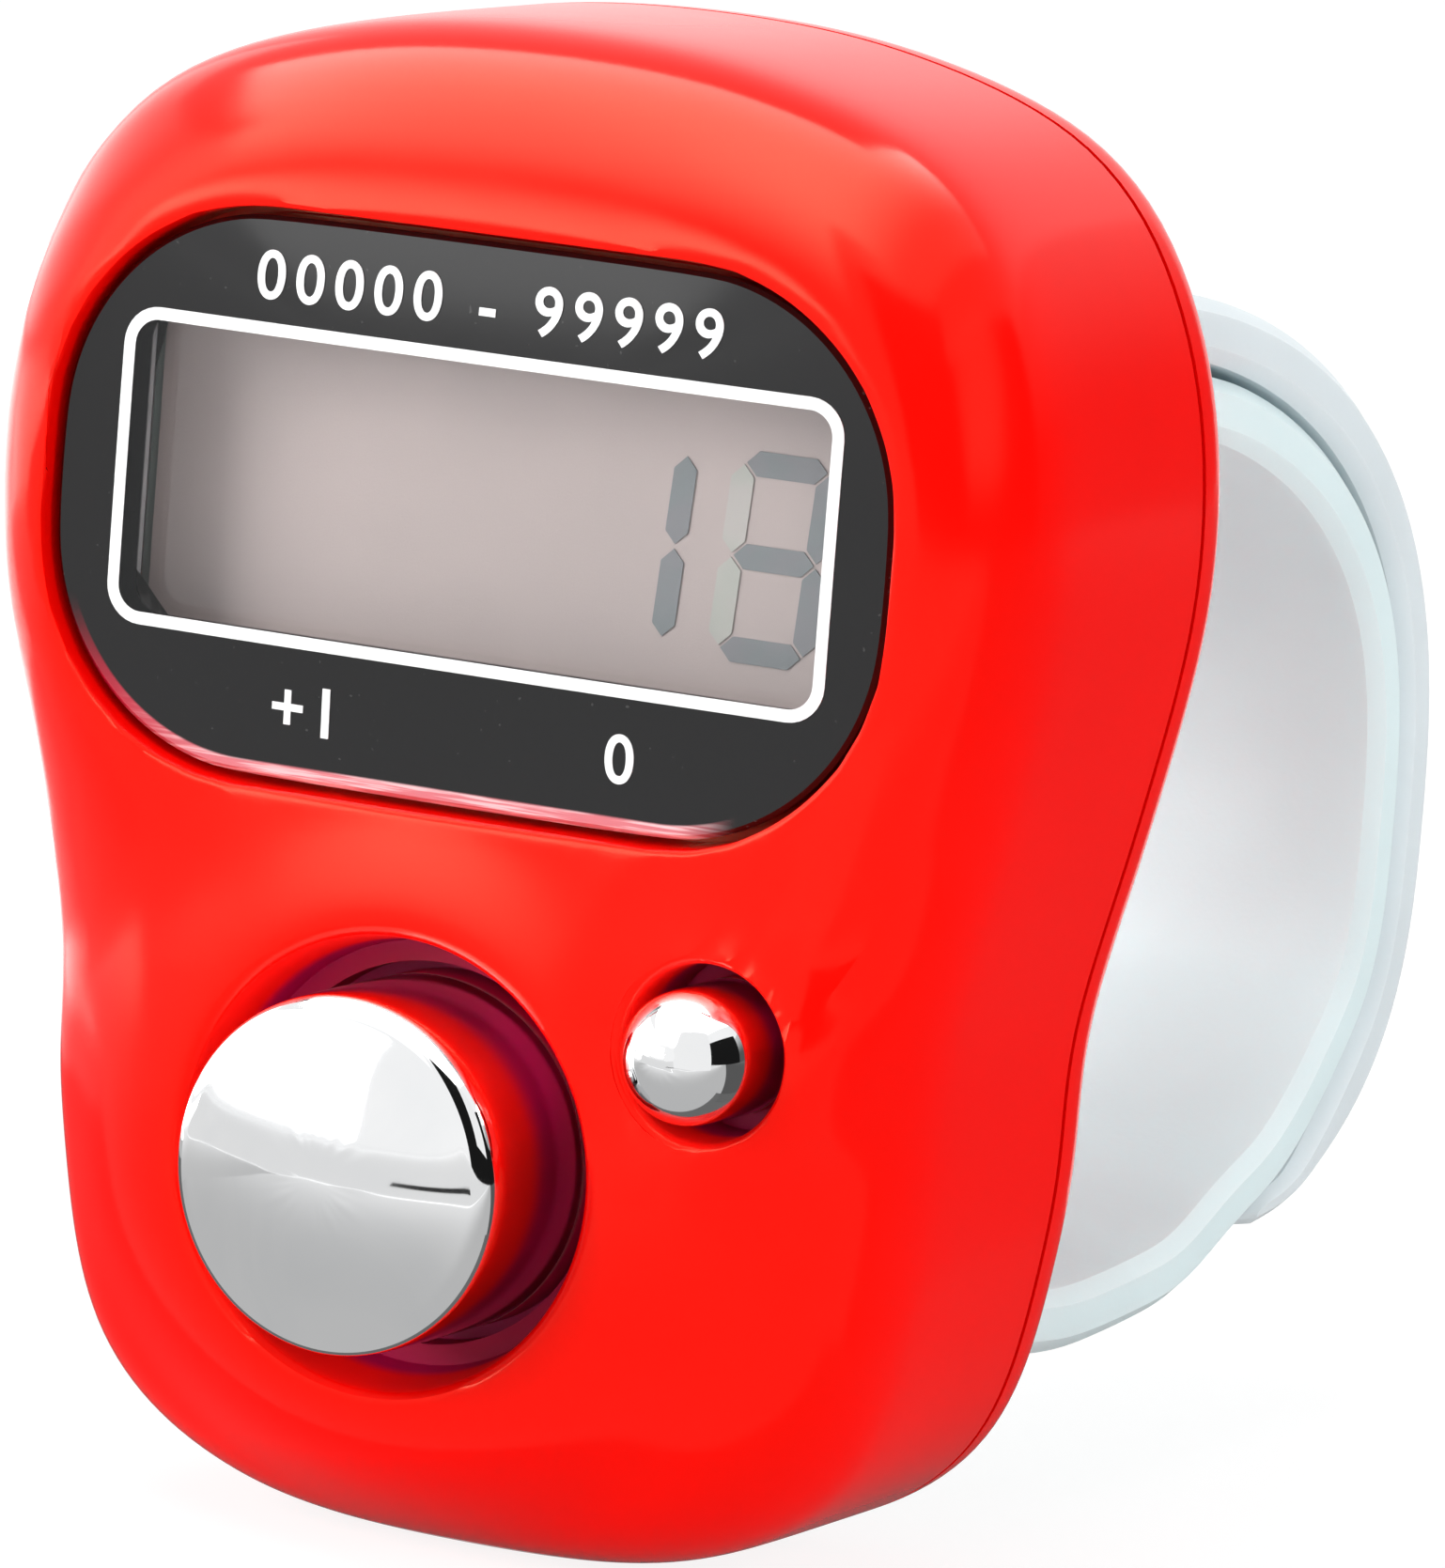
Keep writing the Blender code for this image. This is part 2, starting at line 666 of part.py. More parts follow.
def chips():
    outline = rectangle(CAPACITOR_WIDTH, CAPACITOR_HEIGHT, *on_body([CAPACITOR_SHARES])[0])
    slab("chip_capacitor", outline, SOLDERED_Y, SOLDERED_Y + CAPACITOR_DEPTH, PARTS, ceramic())
    for k, place in enumerate(on_body(RESISTOR_SHARES), 1):
        outline = rectangle(RESISTOR_WIDTH, RESISTOR_HEIGHT, *place)
        slab(f"chip_resistor_{k}", outline, SOLDERED_Y, SOLDERED_Y + RESISTOR_DEPTH, PARTS,
             epoxy())


# Count button: a chromed cap with a retaining flange and a stem inside
COUNT_EDGE = 0.0007
COUNT_CROWN = 0.0007
COUNT_WALL = 0.0008
COUNT_FLANGE = 0.0006
COUNT_FLANGE_HEIGHT = 0.0008
COUNT_STEM_RADIUS = 0.0016
CROWN_STEPS = 4
EDGE_STEPS = 4
COUNT_Y = WELL_Y - COUNT_PROUD

# Silicone key domes with their carbon pills
DOME_SKIN = 0.00035
DOME_TOP = 0.00055
COUNT_DOME_RADIUS = 0.0036
RESET_DOME_RADIUS = 0.0023
PILL_THICKNESS = 0.0004
RESET_STEM_RADIUS = 0.0009
KEY_STACK = DOME_TOP + PILL_THICKNESS + CLEARANCE * 3 / 2
COUNT_DOME_HEIGHT = COUNT_TRAVEL + KEY_STACK
RESET_DOME_HEIGHT = RESET_TRAVEL + KEY_STACK


def count_button():
    """Forward distances are measured from the plane where the crown meets the skirt."""
    flat = COUNT_RADIUS - COUNT_EDGE
    profile = []
    for k in range(CROWN_STEPS):
        share = k / CROWN_STEPS
        profile.append((flat * share, COUNT_EDGE + COUNT_CROWN * (1 - share**2)))
    for k in range(EDGE_STEPS + 1):
        turn = math.pi / 2 * k / EDGE_STEPS
        profile.append((flat + COUNT_EDGE * math.sin(turn), COUNT_EDGE * math.cos(turn)))
    flange_front = COUNT_Y - (FLOOR_BACK_Y + CLEARANCE)
    flange_back = flange_front - COUNT_FLANGE_HEIGHT
    flange_radius = COUNT_RADIUS + COUNT_FLANGE
    bore = COUNT_RADIUS - COUNT_WALL
    stem_end = COUNT_Y - (BOARD_Y - COUNT_DOME_HEIGHT - CLEARANCE)
    profile += [(COUNT_RADIUS, flange_front), (flange_radius, flange_front),
                (flange_radius, flange_back), (bore, flange_back), (bore, 0),
                (COUNT_STEM_RADIUS, 0), (COUNT_STEM_RADIUS, stem_end), (0, stem_end)]
    turned("count_button", profile, (WELL_X, COUNT_Y, WELL_Z), PARTS, chrome(), steps=36)


# Reset button: a ball-ended pin with a flange
RESET_CAP_STEPS = 6
RESET_CENTRE_Y = RESET_Y - RESET_PROUD


def reset_button():
    """Forward distances are measured from the middle of the ball end."""
    profile = []
    for k in range(RESET_CAP_STEPS + 1):
        turn = math.pi / 2 * k / RESET_CAP_STEPS
        profile.append((RESET_RADIUS * math.sin(turn), RESET_RADIUS * math.cos(turn)))
    flange_front = RESET_CENTRE_Y - (RESET_GUIDE_Y + CLEARANCE)
    flange_back = flange_front - RESET_FLANGE_HEIGHT
    stem_end = RESET_CENTRE_Y - (BOARD_Y - RESET_DOME_HEIGHT - CLEARANCE)
    profile += [(RESET_RADIUS, flange_front), (RESET_FLANGE_RADIUS, flange_front),
                (RESET_FLANGE_RADIUS, flange_back), (RESET_STEM_RADIUS, flange_back),
                (RESET_STEM_RADIUS, stem_end), (0, stem_end)]
    turned("reset_button", profile, (RESET_X, RESET_CENTRE_Y, RESET_Z), PARTS, chrome(),
           steps=28)


def key_dome(name, place, base_radius, top_radius, height):
    """A silicone dome standing on the board: a thin skirt that carries a thicker top."""
    x, z = place
    foot = CLEARANCE + DOME_SKIN
    profile = [(0, height), (top_radius, height), (base_radius - 2 * DOME_SKIN, foot + DOME_SKIN),
               (base_radius, foot), (base_radius, CLEARANCE),
               (base_radius - 3 * DOME_SKIN, CLEARANCE),
               (top_radius - DOME_SKIN / 2, height - DOME_TOP), (0, height - DOME_TOP)]
    turned(name, profile, (x, BOARD_Y, z), PARTS, silicone(), steps=24)


def contact_pill(name, place, radius, dome_height):
    """A carbon pill that hangs under its dome's top."""
    x, z = place
    front = dome_height - DOME_TOP - CLEARANCE
    turned(name, disc(radius, front, front - PILL_THICKNESS), (x, BOARD_Y, z), PARTS, carbon(),
           steps=20)


def keys():
    reset_place = (RESET_X, RESET_Z)
    key_dome("count_dome", WELL, COUNT_DOME_RADIUS, COUNT_STEM_RADIUS, COUNT_DOME_HEIGHT)
    key_dome("reset_dome", reset_place, RESET_DOME_RADIUS, RESET_STEM_RADIUS, RESET_DOME_HEIGHT)
    contact_pill("count_contact_pill", WELL, COUNT_STEM_RADIUS - DOME_SKIN, COUNT_DOME_HEIGHT)
    contact_pill("reset_contact_pill", reset_place, RESET_STEM_RADIUS - DOME_SKIN,
                 RESET_DOME_HEIGHT)


# Back cover: a shallow dish with a locating lip, the cell's guide ring and the strap slots
COVER_ROUND = 0.0011
COVER_ROUND_STEPS = 3
LIP_HEIGHT = 0.0009
LIP_THICKNESS = 0.0008
GUIDE_FIT = 0.0004
GUIDE_WALL = 0.0008
GUIDE_DEPTH = 0.0030
DOOR_OVERLAP = 0.0006
DOOR_THICKNESS = 0.0008
DOOR_TAB = 0.0016
DOOR_STEPS = 36
TAB_STEPS = 8
DOOR_SCREW_LENGTH = 0.0034
FOOT_LENGTH = 0.0022
FOOT_THICKNESS = 0.0010
TUCK = 0.0007
CLIP_WIDTH = 0.0032
COVER_START_Y = PARTING_Y + SEAM / 2
LIP_Y = COVER_START_Y - LIP_HEIGHT
GUIDE_RADIUS = CELL_RADIUS + GUIDE_FIT
DOOR_RADIUS = GUIDE_RADIUS + DOOR_OVERLAP
DOOR_SCREW_X = DOOR_RADIUS + HEAD_RADIUS / 3
SLOT_PLACES = ((LOOP_TOP, 1), (-(LOOP_BOTTOM - TUCK), -1))


def cover_rings():
    """From the inner plate over the lip, round the rim and on to the back face."""
    lip_outside, lip_inside = (inset(HOLLOW, CLEARANCE), inset(HOLLOW, CLEARANCE + LIP_THICKNESS))
    rings = [edge_ring(lip_inside, PLATE_Y), edge_ring(lip_inside, LIP_Y),
             edge_ring(lip_outside, LIP_Y), edge_ring(lip_outside, COVER_START_Y),
             edge_ring(OUTLINE, COVER_START_Y)]
    for k in range(COVER_ROUND_STEPS + 1):
        turn = math.pi / 2 * k / COVER_ROUND_STEPS
        rings.append(edge_ring(inset(OUTLINE, COVER_ROUND * (1 - math.cos(turn))),
                               BACK_Y - COVER_ROUND * (1 - math.sin(turn))))
    return rings


def door_outline(grow=0.0):
    """A round door with a screw tab on its right, grown all round."""
    radius, tab = DOOR_RADIUS + grow, DOOR_TAB + grow
    start = math.asin(tab / radius)
    points = []
    for k in range(DOOR_STEPS + 1):
        angle = math.pi / 2 + start + 2 * (math.pi - start) * k / DOOR_STEPS
        points.append((radius * math.sin(angle), CELL_Z + radius * math.cos(angle)))
    for k in range(TAB_STEPS + 1):
        angle = math.pi * k / TAB_STEPS
        points.append((DOOR_SCREW_X + tab * math.sin(angle), CELL_Z + tab * math.cos(angle)))
    return points


def countersink(name, place, depth):
    """A screw hole in the back face, with a cone for the head."""
    x, z = place
    profile = [(0, depth + OVERRUN), (PILOT_RADIUS, depth + OVERRUN), (PILOT_RADIUS, HEAD_HEIGHT),
               (HEAD_RADIUS + CLEARANCE, 0), (HEAD_RADIUS + CLEARANCE, -OVERRUN), (0, -OVERRUN)]
    return turned(name, profile, (x, BACK_Y, z), CUTTERS)


def strap_cutters(name, outer_z, side):
    """The slot for one strap end, and the room for its foot inside the cover."""
    cutters = []
    for part, length, front_y, back_y in (
            ("slot", 0, PLATE_Y - OVERRUN, BACK_Y + OVERRUN),
            ("foot_room", FOOT_LENGTH, LIP_Y - OVERRUN, PLATE_Y)):
        height = STRAP_THICKNESS + length + 2 * CLEARANCE
        centre_z = outer_z + side * (CLEARANCE - height / 2)
        cutters.append(slab(f"{name}_{part}", rectangle(STRAP_WIDTH + 2 * CLEARANCE, height, 0.0,
                                                        centre_z), front_y, back_y, CUTTERS))
    return cutters


def back_cover():
    cover = loft("back_cover", cover_rings(), PARTS, red_plastic())
    cell_place = (0, PLATE_Y, CELL_Z)
    bite = -COVER_PLATE / 4
    guide = disc(GUIDE_RADIUS + GUIDE_WALL, GUIDE_DEPTH, bite)
    door_boss = turned("door_boss", disc(BOSS_RADIUS, DOOR_SCREW_LENGTH, bite),
                       (DOOR_SCREW_X, PLATE_Y, CELL_Z), CUTTERS)
    boolean(cover, [turned("cell_guide", guide, cell_place, CUTTERS, steps=32), door_boss],
            "UNION")
    removed = [
        slab("door_recess", door_outline(CLEARANCE), BACK_Y - DOOR_THICKNESS - CLEARANCE,
             BACK_Y + OVERRUN, CUTTERS),
        turned("cell_bore", disc(GUIDE_RADIUS, GUIDE_DEPTH + OVERRUN, -COVER_PLATE - OVERRUN),
               cell_place, CUTTERS, steps=32),
        slab("clip_notch", rectangle(4 * GUIDE_WALL, CLIP_WIDTH + 2 * CLEARANCE,
                                     -GUIDE_RADIUS, CELL_Z),
             PLATE_Y - GUIDE_DEPTH - OVERRUN, PLATE_Y - CLEARANCE, CUTTERS),
        hole("door_pilot", (DOOR_SCREW_X, CELL_Z), PILOT_RADIUS,
             BACK_Y - DOOR_SCREW_LENGTH - CLEARANCE, BACK_Y),
    ]
    for name, (outer_z, side) in zip(("upper", "lower"), SLOT_PLACES):
        removed += strap_cutters(name, outer_z, side)
    for k, place in enumerate(HOUSING_SCREW_PLACES):
        removed.append(countersink(f"cover_screw_hole_{k}", place, COVER_DEPTH))
        removed.append(hole(f"cover_boss_room_{k}", place, BOSS_RADIUS + CLEARANCE,
                            LIP_Y - OVERRUN, PLATE_Y))
    boolean(cover, removed)


def battery_door():
    door = slab("battery_door", door_outline(), BACK_Y - DOOR_THICKNESS, BACK_Y, PARTS,
                red_plastic())
    boolean(door, [countersink("door_screw_hole", (DOOR_SCREW_X, CELL_Z), DOOR_THICKNESS)])


# Button cell and its contacts
CELL_STEP = 0.0004
CELL_EDGE = 0.0003
STRIP_WIDTH = 0.0030
STRIP_LENGTH = 0.0090
STRIP_THICKNESS = 0.00025
STRIP_ENDS = 0.0009
STRIP_STEPS = 8
CLIP_FOOT = 0.0011
CELL_BACK_Y = BACK_Y - DOOR_THICKNESS - CLEARANCE
CELL_Y = CELL_BACK_Y - CELL_HEIGHT


def button_cell():
    """The cell, with its narrower negative cap towards the board."""
    cap = CELL_RADIUS - 2 * CELL_STEP
    shoulder = CELL_HEIGHT - CELL_STEP
    profile = [(0, CELL_HEIGHT), (cap, CELL_HEIGHT), (cap, shoulder),
               (CELL_RADIUS - CELL_EDGE, shoulder), (CELL_RADIUS, shoulder - CELL_EDGE),
               (CELL_RADIUS, CELL_EDGE), (CELL_RADIUS - CELL_EDGE, 0), (0, 0)]
    turned("button_cell", profile, (0, CELL_BACK_Y, CELL_Z), PARTS, steel(), steps=32)


def negative_contact():
    """A sprung strip that arches from the board up to the cell."""
    rise = CELL_Y - CLEARANCE - STRIP_THICKNESS - SOLDERED_Y
    line = []
    for k in range(STRIP_STEPS + 1):
        z = STRIP_LENGTH * (k / STRIP_STEPS - 0.5)
        arch = eased((STRIP_LENGTH / 2 - STRIP_ENDS - abs(z)) / (STRIP_LENGTH / 3))
        line.append((SOLDERED_Y + rise * float(arch), CELL_Z + z))
    side = line + [(y + STRIP_THICKNESS, z) for y, z in reversed(line)]
    rings = [[(x, y, z) for y, z in side] for x in (-STRIP_WIDTH / 2, STRIP_WIDTH / 2)]
    loft("battery_negative_contact", rings, PARTS, steel())


def positive_contact():
    """A bent clip: a foot on the board and a blade beside the cell."""
    near = -(CELL_RADIUS + CLEARANCE)
    far, heel = near - STRIP_THICKNESS, SOLDERED_Y + STRIP_THICKNESS
    end_y = PLATE_Y - 2 * CLEARANCE
    bent = [(near, SOLDERED_Y), (near - CLIP_FOOT, SOLDERED_Y), (near - CLIP_FOOT, heel),
            (far, heel), (far, end_y), (near, end_y)]
    rings = [[(x, y, CELL_Z + side * CLIP_WIDTH) for x, y in bent] for side in (-0.5, 0.5)]
    loft("battery_positive_contact", rings, PARTS, steel())


# Screws
DRIVE_DEPTH = 0.0003


def screw(name, place, head_y, length, sunk=True):
    """A screw that points forward. A sunk head is a cone, a raised one a flat cylinder."""
    x, z = place
    drive_end = DRIVE_DEPTH if sunk else DRIVE_DEPTH - HEAD_HEIGHT
    shank = [(0, length), (SCREW_RADIUS, length - SCREW_RADIUS)]
    if sunk:
        head = [(SCREW_RADIUS, HEAD_HEIGHT), (HEAD_RADIUS, 0), (SCREW_RADIUS, 0)]
    else:
        head = [(SCREW_RADIUS, 0), (HEAD_RADIUS, 0), (HEAD_RADIUS, -HEAD_HEIGHT),
                (SCREW_RADIUS, -HEAD_HEIGHT)]
    profile = shank + head + [(SCREW_RADIUS, drive_end), (0, drive_end)]
    turned(name, profile, (x, head_y, z), PARTS, steel(), steps=14)


def screws():
    for k, place in enumerate(HOUSING_SCREW_PLACES, 1):
        screw(f"housing_screw_{k}", place, BACK_Y, HOUSING_SCREW_LENGTH)
    for k, place in enumerate(BOARD_SCREW_PLACES, 1):
        screw(f"board_screw_{k}", place, BOARD_SCREW_Y, BOARD_SCREW_LENGTH, sunk=False)
    screw("battery_door_screw", (DOOR_SCREW_X, CELL_Z), BACK_Y, DOOR_SCREW_LENGTH)


# Strap: an outer half from the top and an inner half from the bottom, joined by a stud
LOOP_WIDEST_Z = -0.0028
ROUNDNESS_TOP = 2.4
ROUNDNESS_BOTTOM = 2.9
LINE_SAMPLES = 200
LINE_STEPS = 54
TUCK_LENGTH = 0.0080
STRAP_EDGE = 0.0004
TIP_RADIUS = 0.0030
TIP_THICKNESS = 0.0006
TAPER_STEPS = 6
RAMP_STEPS = 4
LOWER_TIP_STEP = 7
UPPER_TIP_STEP = 40
STUD_STEP = 32
HOLE_STEPS = (29, 32, 35)
STUD_NECK = 0.0010
STUD_HEAD = 0.0019
STUD_HEAD_HEIGHT = 0.0008
LAYER = STRAP_THICKNESS + CLEARANCE
LOOP_OUTER = LOOP_DEPTH + LAYER + STRAP_THICKNESS
FOOT_Y = PLATE_Y - CLEARANCE - FOOT_THICKNESS


def loop_line():
    """The strap's outer line from the upper slot to the lower one, in even steps, as (y, z)."""
    turns = np.linspace(0, math.pi / 2, LINE_SAMPLES)
    halves = []
    for height, power in ((LOOP_TOP - LOOP_WIDEST_Z, ROUNDNESS_TOP),
                          (-LOOP_BOTTOM - LOOP_WIDEST_Z, ROUNDNESS_BOTTOM)):
        behind = LOOP_OUTER * np.sin(turns) ** (2 / power)
        halves.append(np.stack([BACK_Y + behind,
                                LOOP_WIDEST_Z + height * np.cos(turns) ** (2 / power)], 1))
    upper, lower = halves
    lower[:, 1] += TUCK * eased(1 - (lower[:, 0] - BACK_Y) / TUCK_LENGTH)
    line = np.vstack([upper, lower[-2::-1]])
    travelled = np.concatenate([[0], np.cumsum(np.hypot(*np.diff(line, axis=0).T))])
    even = np.linspace(0, travelled[-1], LINE_STEPS + 1)
    return np.stack([np.interp(even, travelled, line[:, axis]) for axis in (0, 1)], 1)


def inward(line):
    """The direction towards the finger at each point of the loop line."""
    along = np.gradient(line, axis=0)
    along /= np.linalg.norm(along, axis=1)[:, None]
    return np.stack([along[:, 1], -along[:, 0]], 1)


def upper_thickness():
    """The outer half's thickness at each step: it tapers from inside towards its tip."""
    full = eased((UPPER_TIP_STEP - np.arange(LINE_STEPS + 1)) / TAPER_STEPS)
    return TIP_THICKNESS + (STRAP_THICKNESS - TIP_THICKNESS) * full


LINE = loop_line()
INWARD = inward(LINE)
UPPER_THICKNESS = upper_thickness()


def band(name, line, directions, thicknesses):
    """A strip swept along a line, with softened edges and a rounded tip at its last point."""
    to_tip = np.hypot(*(line - line[-1]).T)
    rings = []
    for (y, z), (in_y, in_z), thick, distance in zip(line, directions, thicknesses, to_tip):
        short = TIP_RADIUS - min(distance, TIP_RADIUS)
        half = STRAP_WIDTH / 2 - TIP_RADIUS + math.sqrt(TIP_RADIUS**2 - short**2)
        edge = min(STRAP_EDGE, thick / 3)
        section = [(edge - half, 0), (half - edge, 0), (half, edge), (half, thick - edge),
                   (half - edge, thick), (edge - half, thick), (-half, thick - edge),
                   (-half, edge)]
        rings.append([(x, y + in_y * deep, z + in_z * deep) for x, deep in section])
    return loft(name, rings, PARTS, strap_plastic())


def strap_foot(name, outer_z, side):
    """The wider end that keeps a strap half in the cover."""
    height = STRAP_THICKNESS + FOOT_LENGTH
    outline = rectangle(STRAP_WIDTH, height, 0.0, outer_z - side * height / 2)
    return slab(name, outline, FOOT_Y, PLATE_Y - CLEARANCE, CUTTERS)


def with_root(line):
    """Carries a strap line straight forward through its slot and into its foot."""
    return np.vstack([(FOOT_Y + FOOT_THICKNESS / 2, line[0][1]), line])


def strap_upper():
    outer_z, side = SLOT_PLACES[0]
    line = with_root(LINE[:UPPER_TIP_STEP + 1])
    thicknesses = np.append(STRAP_THICKNESS, UPPER_THICKNESS)
    strap = band("strap_upper", line, inward(line), thicknesses)
    boolean(strap, [strap_foot("upper_foot", outer_z, side)], "UNION")
    holes = []
    for k in HOLE_STEPS:
        profile = disc(STUD_NECK + CLEARANCE, OVERRUN, -STRAP_THICKNESS - OVERRUN)
        holes.append(turned(f"stud_hole_{k}", profile, (0, *LINE[k]), CUTTERS,
                            facing=-INWARD[k]))
    boolean(strap, holes)


def strap_lower():
    """The inner half lies on the loop's line near the body and under the outer half after it."""
    outer_z, side = SLOT_PLACES[1]
    bare = eased(1 - (np.arange(LINE_STEPS + 1) - UPPER_TIP_STEP) / RAMP_STEPS)
    under = (UPPER_THICKNESS + CLEARANCE) * bare
    line = with_root((LINE + INWARD * under[:, None])[:LOWER_TIP_STEP:-1])
    strap = band("strap_lower", line, -inward(line), np.full(len(line), STRAP_THICKNESS))
    sunk = -LAYER - STRAP_THICKNESS / 2
    stud = [(0, CLEARANCE + STUD_HEAD_HEIGHT), (STUD_NECK, CLEARANCE + STUD_HEAD_HEIGHT),
            (STUD_HEAD, CLEARANCE), (STUD_NECK, CLEARANCE), (STUD_NECK, sunk), (0, sunk)]
    boolean(strap, [strap_foot("lower_foot", outer_z, side),
                    turned("stud", stud, (0, *LINE[STUD_STEP]), CUTTERS,
                           facing=-INWARD[STUD_STEP])], "UNION")


front_housing()
back_cover()
window_lens()
polarizer("lcd_front_polarizer", GLASS_HEIGHT, DISPLAY_Z, FRONT_FILM_Y)
lcd_cell()
polarizer("lcd_rear_polarizer", REAR_PANE_HEIGHT, REAR_PANE_Z, REAR_FILM_Y)
zebra_connector()
display_frame()
circuit_board()
chip_blob()
chips()
count_button()
reset_button()
keys()
button_cell()
negative_contact()
positive_contact()
battery_door()
screws()
strap_upper()
strap_lower()
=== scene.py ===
"""Looks of the finger-worn tally counter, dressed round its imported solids.

The file follows the counter as it is put together: shells, strap, display, lens, board, keys,
battery and screws, and after them the table, the lamps, the reflection cards and the camera.
"""
import json
import math

import bmesh
import bpy
from mathutils import Matrix, Vector
from mathutils.bvhtree import BVHTree


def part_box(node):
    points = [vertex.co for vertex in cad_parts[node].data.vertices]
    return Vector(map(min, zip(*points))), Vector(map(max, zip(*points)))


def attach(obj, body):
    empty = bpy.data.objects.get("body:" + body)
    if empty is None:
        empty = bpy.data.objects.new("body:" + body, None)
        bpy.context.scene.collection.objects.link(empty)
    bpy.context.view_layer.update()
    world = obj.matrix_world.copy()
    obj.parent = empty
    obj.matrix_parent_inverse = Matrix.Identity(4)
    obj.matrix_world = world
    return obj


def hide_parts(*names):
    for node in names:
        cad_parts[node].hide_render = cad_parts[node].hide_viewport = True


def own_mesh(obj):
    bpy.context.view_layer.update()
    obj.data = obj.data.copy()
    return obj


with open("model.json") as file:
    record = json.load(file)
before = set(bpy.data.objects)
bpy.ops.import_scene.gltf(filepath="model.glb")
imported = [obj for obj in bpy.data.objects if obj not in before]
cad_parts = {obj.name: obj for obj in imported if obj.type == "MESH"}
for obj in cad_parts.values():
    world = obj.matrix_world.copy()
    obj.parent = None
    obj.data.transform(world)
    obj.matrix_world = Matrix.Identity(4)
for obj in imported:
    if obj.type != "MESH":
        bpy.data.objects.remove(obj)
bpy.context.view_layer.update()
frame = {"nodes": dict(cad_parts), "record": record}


# Front housing. One shell of glossy red plastic, moulded in a polished tool, so its skin is nearly
# flawless: a faint waviness from the mould, a little uneven gloss and hairline rubs from handling.
# The lens lies on its seat, which is painted grey as shade in place of the red, and the walls of
# its two wells are duller, with wine-red painted shade deep in them.
class Signal:
    """A shader socket that adds its Math nodes when it stands in a sum."""

    def __init__(self, finish, socket):
        self.finish = finish
        self.socket = socket

    def __add__(self, other):
        return self.finish.maths("ADD", self, other)

    def __radd__(self, other):
        return self.finish.maths("ADD", other, self)

    def __sub__(self, other):
        return self.finish.maths("SUBTRACT", self, other)

    def __rsub__(self, other):
        return self.finish.maths("SUBTRACT", other, self)

    def __mul__(self, other):
        return self.finish.maths("MULTIPLY", self, other)

    def __rmul__(self, other):
        return self.finish.maths("MULTIPLY", other, self)

    def __pow__(self, other):
        return self.finish.maths("POWER", self, other)

    def __abs__(self):
        return self.finish.maths("ABSOLUTE", self)

    def at_least(self, other):
        return self.finish.maths("MAXIMUM", self, other)

    def at_most(self, other):
        return self.finish.maths("MINIMUM", self, other)

    def between(self, low, high):
        """0 below low, 1 above high, and a smooth rise from one to the other."""
        return self.finish.node("ShaderNodeMapRange", {"interpolation_type": "SMOOTHSTEP"},
                                {"Value": self, "From Min": low, "From Max": high})


class Finish:
    """One procedural finish, for a material of its own or for the world that is its owner. Its
    patterns lie in the counter's own metres."""

    def __init__(self, name, owner=None):
        self.material = owner or bpy.data.materials.new(name)
        self.material.use_nodes = True
        self.tree = self.material.node_tree
        self.tree.nodes.clear()
        self.place = self.node("ShaderNodeTexCoord", output="Object")

    def node(self, kind, settings=None, inputs=None, output=0):
        made = self.tree.nodes.new(kind)
        for key, value in (settings or {}).items():
            setattr(made, key, value)
        for key, value in (inputs or {}).items():
            socket = made.inputs[key]
            if isinstance(value, Signal):
                self.tree.links.new(value.socket, socket)
            elif socket.type == "RGBA":
                socket.default_value = (*value, 1)
            else:
                socket.default_value = value
        return Signal(self, made.outputs[output]) if made.outputs else None

    def maths(self, operation, *values):
        return self.node("ShaderNodeMath", {"operation": operation}, dict(enumerate(values)))

    def axis(self, letter):
        return self.node("ShaderNodeSeparateXYZ", inputs={"Vector": self.place}, output=letter)

    def stretched(self, waves):
        """A place for noise that has its own number of waves in a metre along each axis."""
        return self.node("ShaderNodeMapping", inputs={"Vector": self.place, "Scale": waves})

    def noise(self, waves, detail, place=None, twist=0.0):
        """Soft noise with so many waves in a metre."""
        return self.node("ShaderNodeTexNoise",
                         inputs={"Vector": place or self.place, "Scale": waves,
                                 "Detail": detail, "Distortion": twist})

    def mixed(self, factor, first, second):
        """One colour turning into another as factor goes from 0 to 1."""
        return self.node("ShaderNodeMix", {"data_type": "RGBA"},
                         {"Factor": factor, "A": first, "B": second}, output=2)

    def bumped(self, height, depth):
        """A relief that is depth metres high where height is 1."""
        return self.node("ShaderNodeBump", inputs={"Height": height, "Distance": depth})

    def principled(self, inputs):
        return self.node("ShaderNodeBsdfPrincipled", inputs=inputs)

    def blended(self, factor, first, second):
        return self.node("ShaderNodeMixShader", inputs={0: factor, 1: first, 2: second})

    def shown(self, shader, end="ShaderNodeOutputMaterial"):
        """Ends the finish with this shader and gives what it dresses."""
        self.node(end, inputs={"Surface": shader})
        return self.material


def dress(names, material):
    """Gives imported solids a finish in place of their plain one."""
    for name in names:
        frame["nodes"][name].material_slots[0].material = material


def linked(name, mesh, material):
    """Turns a bmesh into an object of the scene."""
    data = bpy.data.meshes.new(name)
    mesh.to_mesh(data)
    mesh.free()
    data.materials.append(material)
    made = bpy.data.objects.new(name, data)
    bpy.context.scene.collection.objects.link(made)
    return made


def new_piece(name, mesh, material, body, smooth=False):
    """Turns a bmesh into a piece that rides on a body."""
    piece = linked(name, mesh, material)
    for face in piece.data.polygons:
        face.use_smooth = smooth
    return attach(piece, body)


SHARP_TURN = math.radians(38)
FLAT_TURN = math.radians(25)
WELD = 0.000002
EASE = 0.00014
SHORT_EDGE = 0.0001


def sharp_edges(mesh, picked=None):
    """The edges that turn sharply, or those of them that picked chooses."""
    return [edge for edge in mesh.edges
            if edge.calc_face_angle(0) > SHARP_TURN and (picked is None or picked(edge))]


